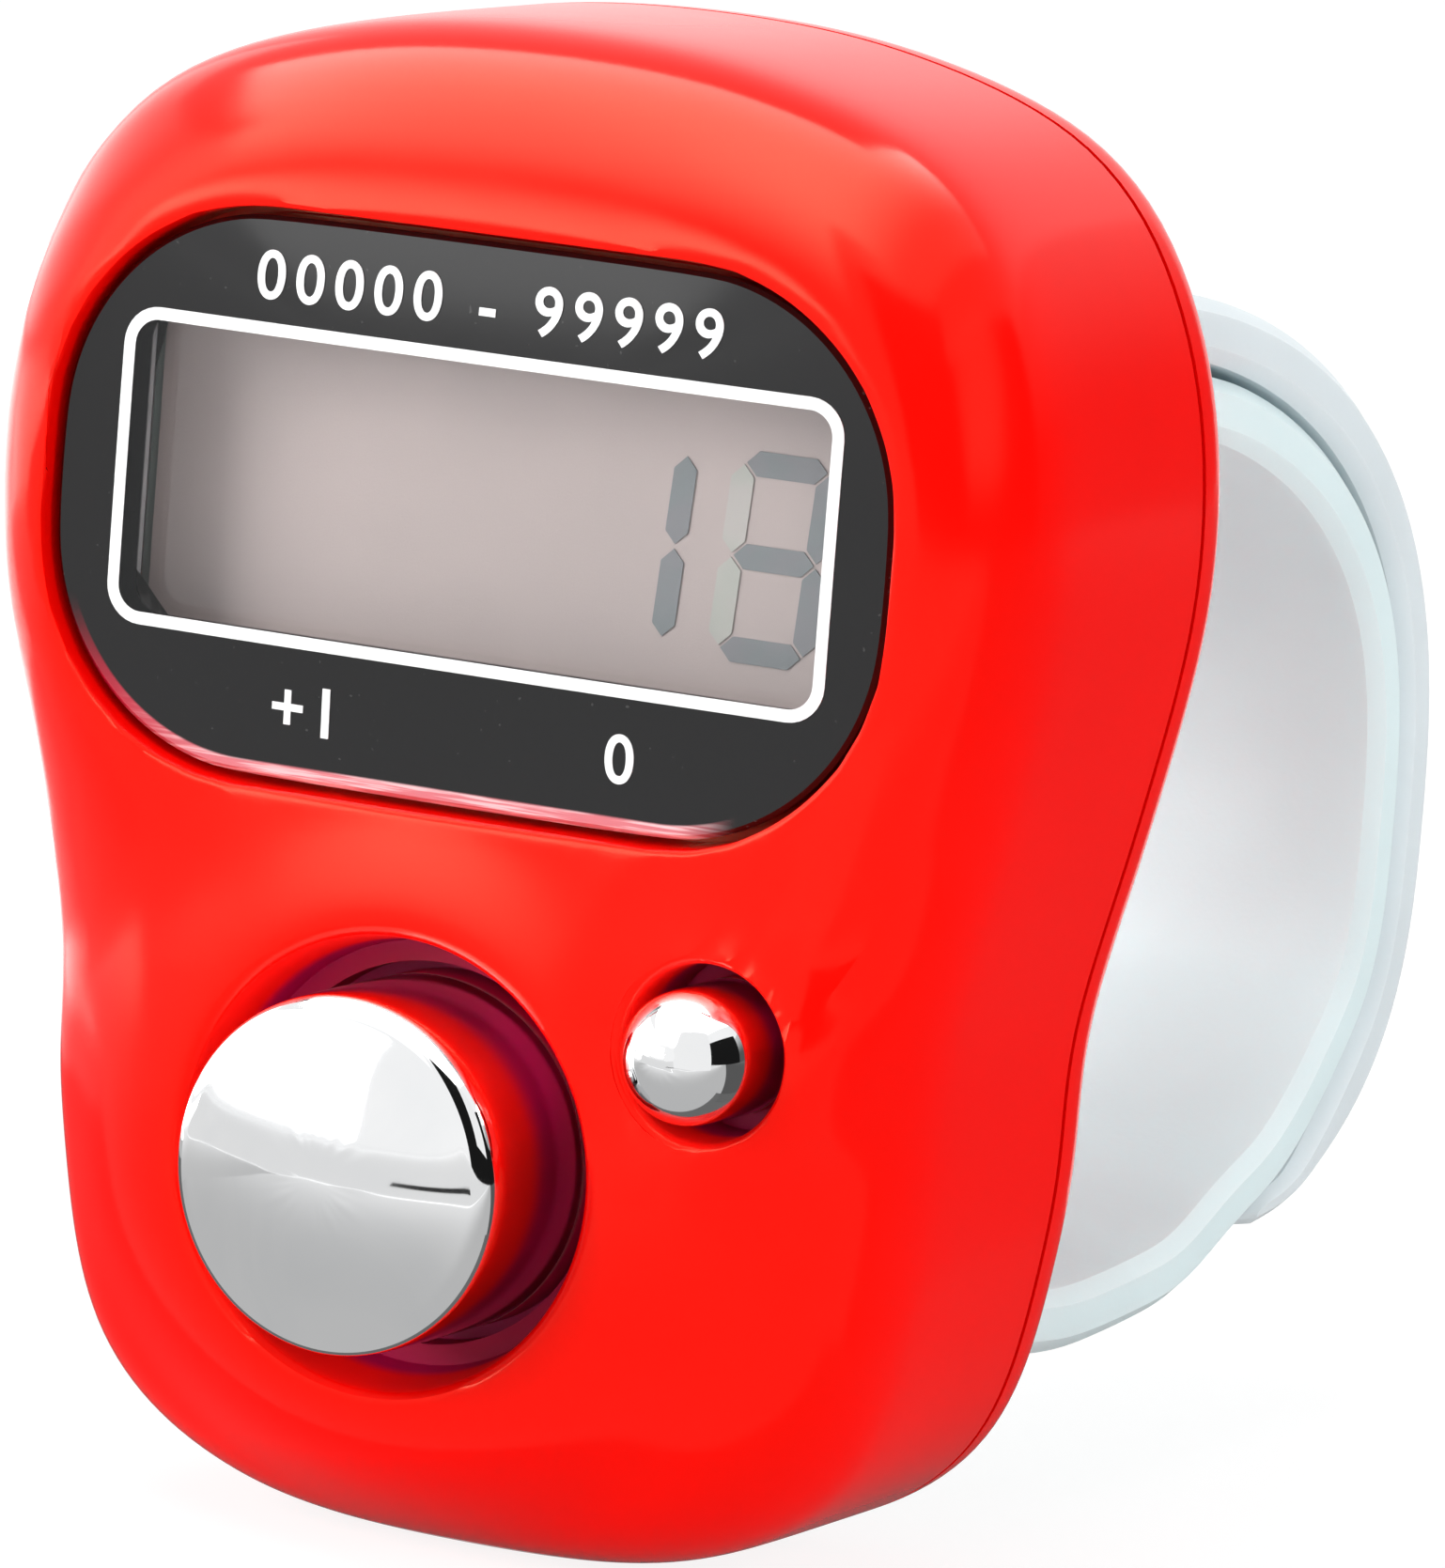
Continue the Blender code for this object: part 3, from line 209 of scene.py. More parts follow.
def refined(node, name, material, body="body", levels=2, eased=None):
    """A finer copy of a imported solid. Facets that make a curve are rounded out, and sharp edges
    stay sharp, apart from those that eased picks, which get a small radius."""
    mesh = bmesh.new()
    mesh.from_mesh(frame["nodes"][node].data)
    bmesh.ops.remove_doubles(mesh, verts=mesh.verts, dist=WELD)
    bmesh.ops.join_triangles(mesh, faces=mesh.faces, angle_face_threshold=FLAT_TURN,
                             angle_shape_threshold=math.pi)
    if eased:
        short = [edge for edge in sharp_edges(mesh, eased) if edge.calc_length() < SHORT_EDGE]
        bmesh.ops.collapse(mesh, edges=short)
        bmesh.ops.bevel(mesh, geom=sharp_edges(mesh, eased), offset=EASE, offset_type="OFFSET",
                        segments=2, profile=0.5, affect="EDGES", material=-1)
    crease = mesh.edges.layers.float.new("crease_edge")
    for edge in sharp_edges(mesh):
        edge[crease] = 1.0
        edge.smooth = False
    piece = new_piece(name, mesh, material, body, smooth=True)
    rounding = piece.modifiers.new("rounding", "SUBSURF")
    rounding.levels = rounding.render_levels = levels
    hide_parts(node)
    return piece


RED = (0.93, 0.0015, 0.0004)
DEEP_RED = (0.88, 0.0010, 0.0004)
RED_IOR = 1.53
RED_SHINE = 0.28
RED_TINT = (1.0, 0.58, 0.34)
FLOW_WAVES = 70
PEEL_WAVES = 900
PEEL_DEPTH = 0.0000012
SMEAR_WAVES = 240
HAIR_WAVES = (300, 300, 9000)
# Grey painted on the seat behind the lens and on the walls of its opening: painted shade in place
# of the red plastic.
SEAT_PAINTED_SHADE = (0.55, 0.55, 0.56)
SEAT_REACH = 0.0001
LENS_CORNER = 0.00609
# Wine red painted deep in the wells, as painted shade of their depth.
WELL_PAINTED_SHADE = (0.40, 0.0, 0.070)
WELL_SHADE_Y = (-0.0250, -0.0243)
WELL_RADII = {"count_button": 0.00590, "reset_button": 0.00230}
WELL_EDGE = 0.00012
MOUTH_Y = -0.0254
MOUTH_GAP = 0.0006


def outline_distance(finish, centre, half, corner):
    """How far a place lies outside a rounded rectangle, below 0 inside it."""
    beyond_x = abs(finish.axis("X") - centre[0]) - (half[0] - corner)
    beyond_z = abs(finish.axis("Z") - centre[1]) - (half[1] - corner)
    outer_x = beyond_x.at_least(0)
    outer_z = beyond_z.at_least(0)
    outside = finish.maths("SQRT", outer_x * outer_x + outer_z * outer_z)
    return outside + beyond_x.at_least(beyond_z).at_most(0) - corner


def lens_distance(finish):
    """How far a place lies outside the outline of the lens."""
    low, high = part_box("window_lens")
    middle = (low + high) / 2
    return outline_distance(finish, (middle.x, middle.z), (high.x - middle.x, high.z - middle.z),
                            LENS_CORNER)


def well_mask(finish):
    """1 in the wells that the two buttons stand in."""
    mask = 0
    for button, radius in WELL_RADII.items():
        low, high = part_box(button)
        middle = (low + high) / 2
        across = finish.axis("X") - middle.x
        up = finish.axis("Z") - middle.z
        distance = finish.maths("SQRT", across * across + up * up)
        mask = (1 - distance.between(radius, radius + WELL_EDGE)) + mask
    return mask


def flowed_red(finish):
    """The red of the plastic, a little deeper in streaks where it flowed into the tool."""
    flow = finish.noise(FLOW_WAVES, 3, twist=0.6)
    return finish.mixed(flow.between(0.25, 0.75), RED, DEEP_RED)


def red_plastic(finish, colour, roughness, normal):
    return finish.shown(finish.principled({
        "Base Color": colour, "Roughness": roughness, "Normal": normal,
        "IOR": RED_IOR, "Specular IOR Level": RED_SHINE, "Specular Tint": RED_TINT}))


def polished_red():
    """Polished plastic, with painted grey shade on its seat and painted wine shade in its wells."""
    finish = Finish("polished_red")
    seat_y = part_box("window_lens")[1].y
    inside = lens_distance(finish).between(-SEAT_REACH, -2 * SEAT_REACH)
    # Painted shade: the seat behind the lens is grey.
    seat = inside * finish.axis("Y").between(seat_y - SEAT_REACH, seat_y)
    well = well_mask(finish)
    # Painted shade: deep in the wells the red turns wine.
    deep = well * finish.axis("Y").between(*WELL_SHADE_Y)
    peel = finish.noise(PEEL_WAVES, 1)
    smear = finish.noise(SMEAR_WAVES, 4, twist=1.5)
    hairs = finish.noise(1, 3, place=finish.stretched(HAIR_WAVES))
    rubs = hairs.between(0.68, 0.80) * smear.between(0.45, 0.7)
    colour = finish.mixed(seat, finish.mixed(deep, flowed_red(finish), WELL_PAINTED_SHADE), SEAT_PAINTED_SHADE)
    roughness = 0.13 + smear * 0.05 + rubs * 0.10 + seat * 0.4 + well * 0.35
    return red_plastic(finish, colour, roughness, finish.bumped(peel, PEEL_DEPTH))


def at_recess_mouth(edge):
    """Whether an edge lies round the mouth of the lens recess."""
    low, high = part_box("window_lens")
    middle = (edge.verts[0].co + edge.verts[1].co) / 2
    return (middle.y < MOUTH_Y and low.x - MOUTH_GAP < middle.x < high.x + MOUTH_GAP
            and low.z - MOUTH_GAP < middle.z < high.z + MOUTH_GAP)


refined("front_housing", "front_shell", polished_red(), eased=at_recess_mouth)


# Back cover and battery door. The same red plastic, but their outer faces were spark-eroded in the
# tool to a fine even grain, because they lie on the finger and have to hide scratches.
GRAIN_WAVES = 9000
GRAIN_DEPTH = 0.000012
GRAIN_EDGE = 0.0004
WORN_WAVES = 160


def grained_red():
    """Grain on the outer face alone. It is worn smoother here and there by the finger."""
    finish = Finish("grained_red")
    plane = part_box("back_cover")[1].y
    back = finish.axis("Y").between(plane - 2 * GRAIN_EDGE, plane - GRAIN_EDGE)
    grain = finish.noise(GRAIN_WAVES, 2)
    worn = finish.noise(WORN_WAVES, 3).between(0.5, 0.75)
    roughness = 0.15 + back * (0.27 - worn * 0.10)
    return red_plastic(finish, flowed_red(finish), roughness,
                       finish.bumped(grain * back, GRAIN_DEPTH))


GRAINED_RED = grained_red()
refined("back_cover", "back_shell", GRAINED_RED)
refined("battery_door", "cell_door", GRAINED_RED)


# Finger strap. Two soft bands of milky thermoplastic rubber, hooked into slots of the back cover.
# The lower one's stud snaps into a hole of the upper one, and light shines a little way into both.
# Both colours are tinted cool as painted light that cancels the red light the shells throw on the
# bands, and the inner one is a paler copy of the outer one.
OUTER_MILKY_PAINTED_COOL = (0.715, 0.785, 0.815)
INNER_MILKY_PAINTED_PALE = (0.735, 0.875, 0.895)
CLOUD_SHARE = 0.95
CLOUD_WAVES = 110
SKIN_WAVES = 5200
SKIN_DEPTH = 0.000006
HANDLED_WAVES = 300
RUBBER_IOR = 1.49
MILKY_SHARE = 0.5
MILKY_DEPTH = 0.0012
ALL_COLOURS = (1.0, 1.0, 1.0)


def milky_rubber(name, milky):
    finish = Finish(name)
    cloud = finish.noise(CLOUD_WAVES, 3, twist=0.4)
    skin = finish.noise(SKIN_WAVES, 2)
    handled = finish.noise(HANDLED_WAVES, 4, twist=1.0)
    shade = tuple(part * CLOUD_SHARE for part in milky)
    return finish.shown(finish.principled({
        "Base Color": finish.mixed(cloud.between(0.3, 0.7), milky, shade),
        "Roughness": 0.34 + handled * 0.12, "Normal": finish.bumped(skin, SKIN_DEPTH),
        "IOR": RUBBER_IOR, "Subsurface Weight": MILKY_SHARE, "Subsurface Scale": MILKY_DEPTH,
        "Subsurface Radius": ALL_COLOURS}))


refined("strap_upper", "outer_strap", milky_rubber("milky_rubber", OUTER_MILKY_PAINTED_COOL))
# The inner band gets a paler copy of the rubber, painted light.
refined("strap_lower", "inner_strap", milky_rubber("rubber_painted_pale", INNER_MILKY_PAINTED_PALE))


# Display. Two panes of glass with liquid between them, polarizing film on both sides, a striped
# rubber strip that joins the glass to the board, and a white moulded frame that holds them.
FILM_LIGHT = (0.520, 0.425, 0.400)
FILM_DARK = (0.480, 0.395, 0.372)
FILM_IOR = 1.45
WEAVE_WAVES = 14000
WEAVE_DEPTH = 0.000003
GLASS_PALE = (0.62, 0.72, 0.66)
GLASS_GREEN = (0.56, 0.68, 0.62)
GLASS_ALPHA = 0.55
GLASS_IOR = 1.52
ZEBRA_PITCH = 0.00018
ZEBRA_RED = (0.62, 0.24, 0.30)
ZEBRA_BLACK = (0.02, 0.02, 0.02)
FRAME_WHITE = (0.80, 0.80, 0.77)
FRAME_SHADE = (0.74, 0.74, 0.71)
FRAME_WAVES = 6000
FRAME_DEPTH = 0.000004


def display_film():
    finish = Finish("display_film")
    cloud = finish.noise(160, 2)
    weave = finish.noise(WEAVE_WAVES, 1)
    return finish.shown(finish.principled({
        "Base Color": finish.mixed(cloud.between(0.3, 0.7), FILM_LIGHT, FILM_DARK),
        "Roughness": 0.42 + weave * 0.10, "Normal": finish.bumped(weave, WEAVE_DEPTH),
        "IOR": FILM_IOR}))


def display_glass():
    finish = Finish("display_glass")
    return finish.shown(finish.principled({
        "Base Color": finish.mixed(finish.noise(200, 1), GLASS_PALE, GLASS_GREEN),
        "Roughness": 0.05 + finish.noise(500, 2) * 0.04,
        "IOR": GLASS_IOR, "Alpha": GLASS_ALPHA}))


def zebra_rubber():
    finish = Finish("zebra_rubber")
    stripe = finish.maths("SINE", finish.axis("X") * (math.tau / ZEBRA_PITCH)).between(-0.2, 0.2)
    return finish.shown(finish.principled({
        "Base Color": finish.mixed(stripe, ZEBRA_RED, ZEBRA_BLACK),
        "Roughness": 0.55 + finish.noise(4000, 2) * 0.15}))


def white_moulding():
    finish = Finish("white_moulding")
    return finish.shown(finish.principled({
        "Base Color": finish.mixed(finish.noise(120, 2), FRAME_WHITE, FRAME_SHADE),
        "Roughness": 0.42 + finish.noise(3000, 2) * 0.10,
        "Normal": finish.bumped(finish.noise(FRAME_WAVES, 2), FRAME_DEPTH)}))


dress(["lcd_front_polarizer", "lcd_rear_polarizer"], display_film())
dress(["lcd_cell"], display_glass())
dress(["zebra_connector"], zebra_rubber())
dress(["display_frame"], white_moulding())

# Digits of the display. Seven bars each, slanted, that darken inside the glass. They show thirteen,
# and two faint greenish bars lie where the left bars of the last digit are, beside the lit one.
DIGIT_RIGHT = 0.0092
DIGIT_PITCH = 0.0041
DIGIT_WIDTH = 0.0031
DIGIT_HEIGHT = 0.0055
DIGIT_Z = 0.00722
DIGIT_SLANT = 0.075
BAR_WIDTH = 0.00066
BAR_GAP = 0.00006
BAR_THICKNESS = 0.00002
BAR_END_SHARES = {
    "top": ((0, 1), (1, 1)), "middle": ((0, 0.5), (1, 0.5)), "bottom": ((0, 0), (1, 0)),
    "left_top": ((0, 0.5), (0, 1)), "left_bottom": ((0, 0), (0, 0.5)),
    "right_top": ((1, 0.5), (1, 1)), "right_bottom": ((1, 0), (1, 0.5)),
}
ONE = ("right_top", "right_bottom")
THREE = ("top", "middle", "bottom", "right_top", "right_bottom")
THREE_OFF = ("left_top", "left_bottom")
DARK_LIQUID = ((0.185, 0.205, 0.210), (0.205, 0.205, 0.215))
FAINT_LIQUID = ((0.45, 0.45, 0.40), (0.50, 0.465, 0.43))
FILM_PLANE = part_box("lcd_front_polarizer")[0].y


def add_bar(mesh, bar, place):
    """One bar with pointed ends, in the cell of the digit at that place from the right."""
    (start_x, start_z), (end_x, end_z) = BAR_END_SHARES[bar]
    wide = DIGIT_WIDTH - BAR_WIDTH
    tall = DIGIT_HEIGHT - BAR_WIDTH
    left = DIGIT_RIGHT - place * DIGIT_PITCH - DIGIT_WIDTH + BAR_WIDTH / 2
    low = DIGIT_Z - tall / 2
    start = Vector((left + start_x * wide, 0, low + start_z * tall))
    end = Vector((left + end_x * wide, 0, low + end_z * tall))
    along = (end - start).normalized()
    across = Vector((along.z, 0, -along.x)) * (BAR_WIDTH / 2)
    tip = along * BAR_GAP
    shoulder = along * (BAR_WIDTH / 2 + BAR_GAP)
    corners = (start + tip, start + shoulder + across, end - shoulder + across,
               end - tip, end - shoulder - across, start + shoulder - across)
    face = mesh.faces.new([mesh.verts.new(corner) for corner in corners])
    grown = bmesh.ops.extrude_face_region(mesh, geom=[face])["geom"]
    new_corners = [item for item in grown if isinstance(item, bmesh.types.BMVert)]
    bmesh.ops.translate(mesh, verts=new_corners, vec=(0, -BAR_THICKNESS, 0))


def bars_piece(name, lit, material):
    """The bars of one tone, each digit's on its own place from the right."""
    mesh = bmesh.new()
    for place, bars in lit:
        for bar in bars:
            add_bar(mesh, bar, place)
    for corner in mesh.verts:
        corner.co.x += (corner.co.z - DIGIT_Z) * DIGIT_SLANT
        corner.co.y += FILM_PLANE - BAR_THICKNESS
    bmesh.ops.recalc_face_normals(mesh, faces=mesh.faces)
    return new_piece(name, mesh, material, "body")


def liquid(name, waves, tints):
    """The liquid between the panes where a bar turns it darker."""
    finish = Finish(name)
    patch = finish.noise(waves, 2).between(0.35, 0.65)
    return finish.shown(finish.principled({
        "Base Color": finish.mixed(patch, *tints), "Roughness": 0.45}))


bars_piece("lit_bars", ((1, ONE), (0, THREE)), liquid("dark_liquid", 900, DARK_LIQUID))
bars_piece("unlit_bars", ((0, THREE_OFF),), liquid("faint_liquid", 700, FAINT_LIQUID))


# Window lens. A clear acrylic pane with a domed face and bevelled rim, printed black from behind
# round a clear window. It lies on its seat, painted grey as shade, with a white line and plain
# numbers on it. The foot of its rim has a painted reflection of the red plastic and a painted
# highlight.
WINDOW_X = 0.0001
WINDOW_Z = 0.0077
WINDOW_HALF_WIDTH = 0.01040
WINDOW_HALF_HEIGHT = 0.00400
WINDOW_CORNER = 0.00085
WINDOW_EDGE = 0.00004
CLEAR_TINT = (0.97, 0.975, 0.98)
GLOSS_TINT = (0.96, 0.97, 0.98)
ACRYLIC_IOR = 1.49
PRINT_BLACK = (0.004, 0.004, 0.0045)
DUST_GREY = (0.04, 0.04, 0.04)
RIM_PRINT = 0.00040
# Crimson, pink and pale along the foot of the rim: a painted reflection of the red plastic, turning
# to a streaky painted highlight.
RIM_PAINTED_CRIMSON = (0.42, 0.004, 0.030)
RIM_PAINTED_PINK = (0.62, 0.17, 0.20)
RIM_PAINTED_PALE = (0.85, 0.52, 0.54)
FOOT_Z = (0.0042, 0.0010)
FOOT_X = (0.0085, 0.0065)
PINK_X = (-0.0105, -0.0060)
STREAK_WAVES = (350, 350, 9000)
DUST_WAVES = 5200
SHEEN_LEAST = 0.04
SHEEN_RISE = 0.9
SHEEN_POWER = 5
FACE_Y = -0.02555
RIM_Y = -0.02515
RIM_SHIFT = 0.00028
NEARBY = 0.00002


def printed_acrylic():
    """Black print round the clear window. Past the print, along the foot of the pane, the rim is
    painted crimson as a painted reflection of the red plastic beside it, turning to a streaky pink
    painted highlight to the right."""
    finish = Finish("printed_acrylic")
    window = outline_distance(finish, (WINDOW_X, WINDOW_Z),
                              (WINDOW_HALF_WIDTH, WINDOW_HALF_HEIGHT), WINDOW_CORNER)
    printed = window.between(-WINDOW_EDGE, WINDOW_EDGE)
    # The foot of the rim, where the painted reflection and highlight go.
    foot = (lens_distance(finish).between(-RIM_PRINT - WINDOW_EDGE, -RIM_PRINT + WINDOW_EDGE)
            * finish.axis("Z").between(*FOOT_Z) * finish.axis("X").between(*FOOT_X))
    streak = finish.noise(1, 3, place=finish.stretched(STREAK_WAVES))
    pink = finish.mixed(streak.between(0.45, 0.62), RIM_PAINTED_PINK, RIM_PAINTED_PALE)
    rim_painted_light = finish.mixed(finish.axis("X").between(*PINK_X), RIM_PAINTED_CRIMSON, pink)
    smear = finish.noise(180, 4, twist=1.2)
    dust = finish.noise(DUST_WAVES, 1).between(0.74, 0.80)
    facing = finish.node("ShaderNodeLayerWeight", inputs={"Blend": 0.5}, output="Facing")
    sheen = facing ** SHEEN_POWER * SHEEN_RISE + SHEEN_LEAST
    gloss = finish.principled({"Base Color": GLOSS_TINT, "Metallic": 1.0,
                               "Roughness": 0.03 + smear * 0.03})
    clear = finish.node("ShaderNodeBsdfTransparent", inputs={"Color": CLEAR_TINT})
    black = finish.mixed(dust, PRINT_BLACK, DUST_GREY)
    ink_and_painted_rim = finish.principled({"Base Color": finish.mixed(foot, black, rim_painted_light),
                             "Roughness": 0.05 + smear * 0.04 + foot * 0.2,
                             "IOR": ACRYLIC_IOR, "Specular IOR Level": 0.55})
    return finish.shown(finish.blended(printed, finish.blended(sheen, clear, gloss), ink_and_painted_rim))


def narrow_rim(lens):
    """Makes the rim's bevel finer. The ring at its foot comes forward and the ring round the
    face goes outwards."""
    low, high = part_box("window_lens")
    middle = (low + high) / 2
    reach_x = high.x - middle.x - LENS_CORNER
    reach_z = high.z - middle.z - LENS_CORNER
    for corner in lens.data.vertices:
        if abs(corner.co.y - RIM_Y) < NEARBY:
            corner.co.y -= RIM_SHIFT
        elif abs(corner.co.y - FACE_Y) < NEARBY:
            place = corner.co - middle
            outwards = Vector((place.x - max(-reach_x, min(reach_x, place.x)), 0,
                               place.z - max(-reach_z, min(reach_z, place.z))))
            corner.co += outwards.normalized() * RIM_SHIFT


LENS = refined("window_lens", "lens", printed_acrylic())
narrow_rim(LENS)

# Prints on the lens. White ink laid on the domed face: the line round the window, the counting
# range over it, and plain marks over the two buttons.
LENS_SURFACE = BVHTree.FromObject(LENS, bpy.context.evaluated_depsgraph_get())
PRINT_THICKNESS = 0.00003
PRINT_LIFT = 0.00001
IN_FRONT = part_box("window_lens")[0].y - PRINT_THICKNESS
INK_WHITE = (0.90, 0.90, 0.90)
INK_THIN = (0.74, 0.75, 0.76)
LINE_WIDTH = 0.00033
LINE_CORNER_STEPS = 8
LINE_STEPS = 24
MARK_HEIGHT = 0.00130
MARK_WEIGHT = 0.012
TOP_MARK_Z = 0.01245
LOW_MARK_Z = 0.00130
# Each mark's name, figures, middle, foot and spacing.
MARKS = (
    ("range_numbers", "00000 - 99999", 0.0002, TOP_MARK_Z, 1.3),
    ("count_mark", "+1", -0.0044, LOW_MARK_Z, 1.15),
    ("reset_mark", "0", 0.0050, LOW_MARK_Z, 1.0),
)


def lay_print(mesh):
    """Lays a flat print, drawn on the XZ plane, on the domed face of the lens and thickens it."""
    under = {}
    for corner in mesh.verts:
        start = Vector((corner.co.x, IN_FRONT, corner.co.z))
        under[corner] = LENS_SURFACE.ray_cast(start, Vector((0, 1, 0)))[0].y
    for corner, depth in under.items():
        corner.co.y = depth - PRINT_LIFT
    grown = bmesh.ops.extrude_face_region(mesh, geom=mesh.faces[:])["geom"]
    raised = [item for item in grown if isinstance(item, bmesh.types.BMVert)]
    bmesh.ops.translate(mesh, verts=raised, vec=(0, -PRINT_THICKNESS, 0))
    bmesh.ops.recalc_face_normals(mesh, faces=mesh.faces)
    return mesh


def joined(mesh, ring):
    """The edges that close a ring of corners."""
    return [mesh.edges.new((ring[i - 1], ring[i])) for i in range(len(ring))]


def window_line():
    """The line round the window, between two rounded rectangles."""
    mesh = bmesh.new()
    reach_x = WINDOW_HALF_WIDTH - WINDOW_CORNER
    reach_z = WINDOW_HALF_HEIGHT - WINDOW_CORNER
    edges = []
    for radius in (WINDOW_CORNER + LINE_WIDTH / 2, WINDOW_CORNER - LINE_WIDTH / 2):
        ring = []
        for quarter, (side_x, side_z) in enumerate(((1, 1), (-1, 1), (-1, -1), (1, -1))):
            for step in range(LINE_CORNER_STEPS + 1):
                angle = (quarter + step / LINE_CORNER_STEPS) * math.pi / 2
                ring.append(mesh.verts.new((
                    WINDOW_X + side_x * reach_x + radius * math.cos(angle), 0,
                    WINDOW_Z + side_z * reach_z + radius * math.sin(angle))))
        edges += joined(mesh, ring)
    bmesh.ops.bridge_loops(mesh, edges=edges)
    long_edges = [edge for edge in mesh.edges if edge.calc_length() > 4 * LINE_WIDTH]
    bmesh.ops.subdivide_edges(mesh, edges=long_edges, cuts=LINE_STEPS, use_grid_fill=True)
    return lay_print(mesh)


def number_mark(words, centre_x, base_z, spacing):
    """Plain figures as a flat print, centred over a point of the lens."""
    writing = bpy.data.curves.new("figures", "FONT")
    writing.body = words
    writing.size = 1.0
    writing.space_character = spacing
    writing.offset = MARK_WEIGHT
    holder = bpy.data.objects.new("figures", writing)
    bpy.context.scene.collection.objects.link(holder)
    data = bpy.data.meshes.new_from_object(holder.evaluated_get(
        bpy.context.evaluated_depsgraph_get()))
    bpy.data.objects.remove(holder)
    mesh = bmesh.new()
    mesh.from_mesh(data)
    across = [corner.co.x for corner in mesh.verts]
    up = [corner.co.y for corner in mesh.verts]
    low = min(up)
    middle = (min(across) + max(across)) / 2
    scale = MARK_HEIGHT / (max(up) - low)
    for corner in mesh.verts:
        corner.co = Vector((centre_x + (corner.co.x - middle) * scale, 0,
                            base_z + (corner.co.y - low) * scale))
    bmesh.ops.remove_doubles(mesh, verts=mesh.verts, dist=WELD)
    return lay_print(mesh)


def white_ink():
    finish = Finish("white_ink")
    thin = finish.noise(2600, 3).between(0.3, 0.75)
    return finish.shown(finish.principled({
        "Base Color": finish.mixed(thin, INK_WHITE, INK_THIN), "Roughness": 0.38 + thin * 0.1}))


WHITE_INK = white_ink()
new_piece("window_line", window_line(), WHITE_INK, "body")
for name, words, centre_x, base_z, spacing in MARKS:
    new_piece(name, number_mark(words, centre_x, base_z, spacing), WHITE_INK, "body")


# Circuit board. Green-lacquered glass fibre with key pads and tracks, the counter chip under a
# drop of black epoxy, and three small parts soldered on by their metal ends.
TRACK_PITCH = 0.0009
BOARD_LACQUER = (0.018, 0.145, 0.050)
TRACK_LACQUER = (0.030, 0.205, 0.075)
SURFACE_DEPTH = 0.00002
FIBRE_WAVES = (9000, 9000, 700)
EPOXY_BLACK = (0.012, 0.012, 0.013)
EPOXY_GREY = (0.03, 0.03, 0.03)
END_METAL = (0.70, 0.70, 0.68)
PLATED_SHARE = 0.28
PLATED_EDGE_SHARE = 0.02
SMALL_PARTS = {
    "chip_resistor_1": (0.02, 0.02, 0.02),
    "chip_resistor_2": (0.02, 0.02, 0.02),
    "chip_capacitor": (0.42, 0.30, 0.19),
}


def lacquered_board():
    finish = Finish("lacquered_board")
    cells = finish.node("ShaderNodeTexVoronoi", {"distance": "MANHATTAN", "feature": "F1"},
                        {"Vector": finish.place, "Scale": 1 / TRACK_PITCH})
    tracks = cells.between(0.42, 0.46)
    fibre = finish.noise(1, 2, place=finish.stretched(FIBRE_WAVES))
    return finish.shown(finish.principled({
        "Base Color": finish.mixed(tracks, BOARD_LACQUER, TRACK_LACQUER),
        "Roughness": 0.28 + fibre * 0.12,
        "Normal": finish.bumped(tracks + fibre * 0.3, SURFACE_DEPTH)}))


def black_epoxy():
    finish = Finish("black_epoxy")
    ripple = finish.noise(500, 2)
    return finish.shown(finish.principled({
        "Base Color": finish.mixed(ripple, EPOXY_BLACK, EPOXY_GREY),
        "Roughness": 0.22 + ripple * 0.15, "Normal": finish.bumped(ripple, SURFACE_DEPTH)}))


def end_plated(part, body_colour):
    """A small soldered part: a dull body between two bright metal ends."""
    finish = Finish(part + "_body")
    low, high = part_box(part)
    half = (high.x - low.x) / 2
    dull = half * (1 - PLATED_SHARE)
    end = abs(finish.axis("X") - (low.x + high.x) / 2).between(
        dull, dull + half * PLATED_EDGE_SHARE)
    grain = finish.noise(6000, 2)
    return finish.shown(finish.principled({
        "Base Color": finish.mixed(end, body_colour, END_METAL),
        "Metallic": end, "Roughness": 0.30 + grain * 0.20}))


dress(["circuit_board"], lacquered_board())
dress(["chip_blob"], black_epoxy())
for part, part_colour in SMALL_PARTS.items():
    dress([part], end_plated(part, part_colour))


# Count and reset buttons. Moulded red caps plated with bright chrome, with faint finger marks and
# the finest wipe scratches. Each has a stem that presses its dome, and a flange that keeps it in.
CHROME = (0.90, 0.905, 0.91)
SMEARED_CHROME = (0.86, 0.87, 0.88)
# Darker, pinker chrome down the skirt: painted shade from the red well round it.
DULL_CHROME_PAINTED_SHADE = (0.80, 0.76, 0.77)
SKIRT_FADE = 0.0008
# The bare flange is not plated; its wine-purple is painted shade of the gap round the cap.
BARE_PLASTIC_PAINTED_SHADE = (0.70, 0.004, 0.150)
BARE_FADE = 0.0004
FINGER_WAVES = 260
WIPE_WAVES = (500, 500, 14000)
RIPPLE_WAVES = 700
RIPPLE_DEPTH = 0.0000006
COUNT_CROWN = 0.0014
RESET_CROWN = 0.0018
COUNT_FLANGE_Y = -0.0238
RESET_FLANGE_Y = -0.0242


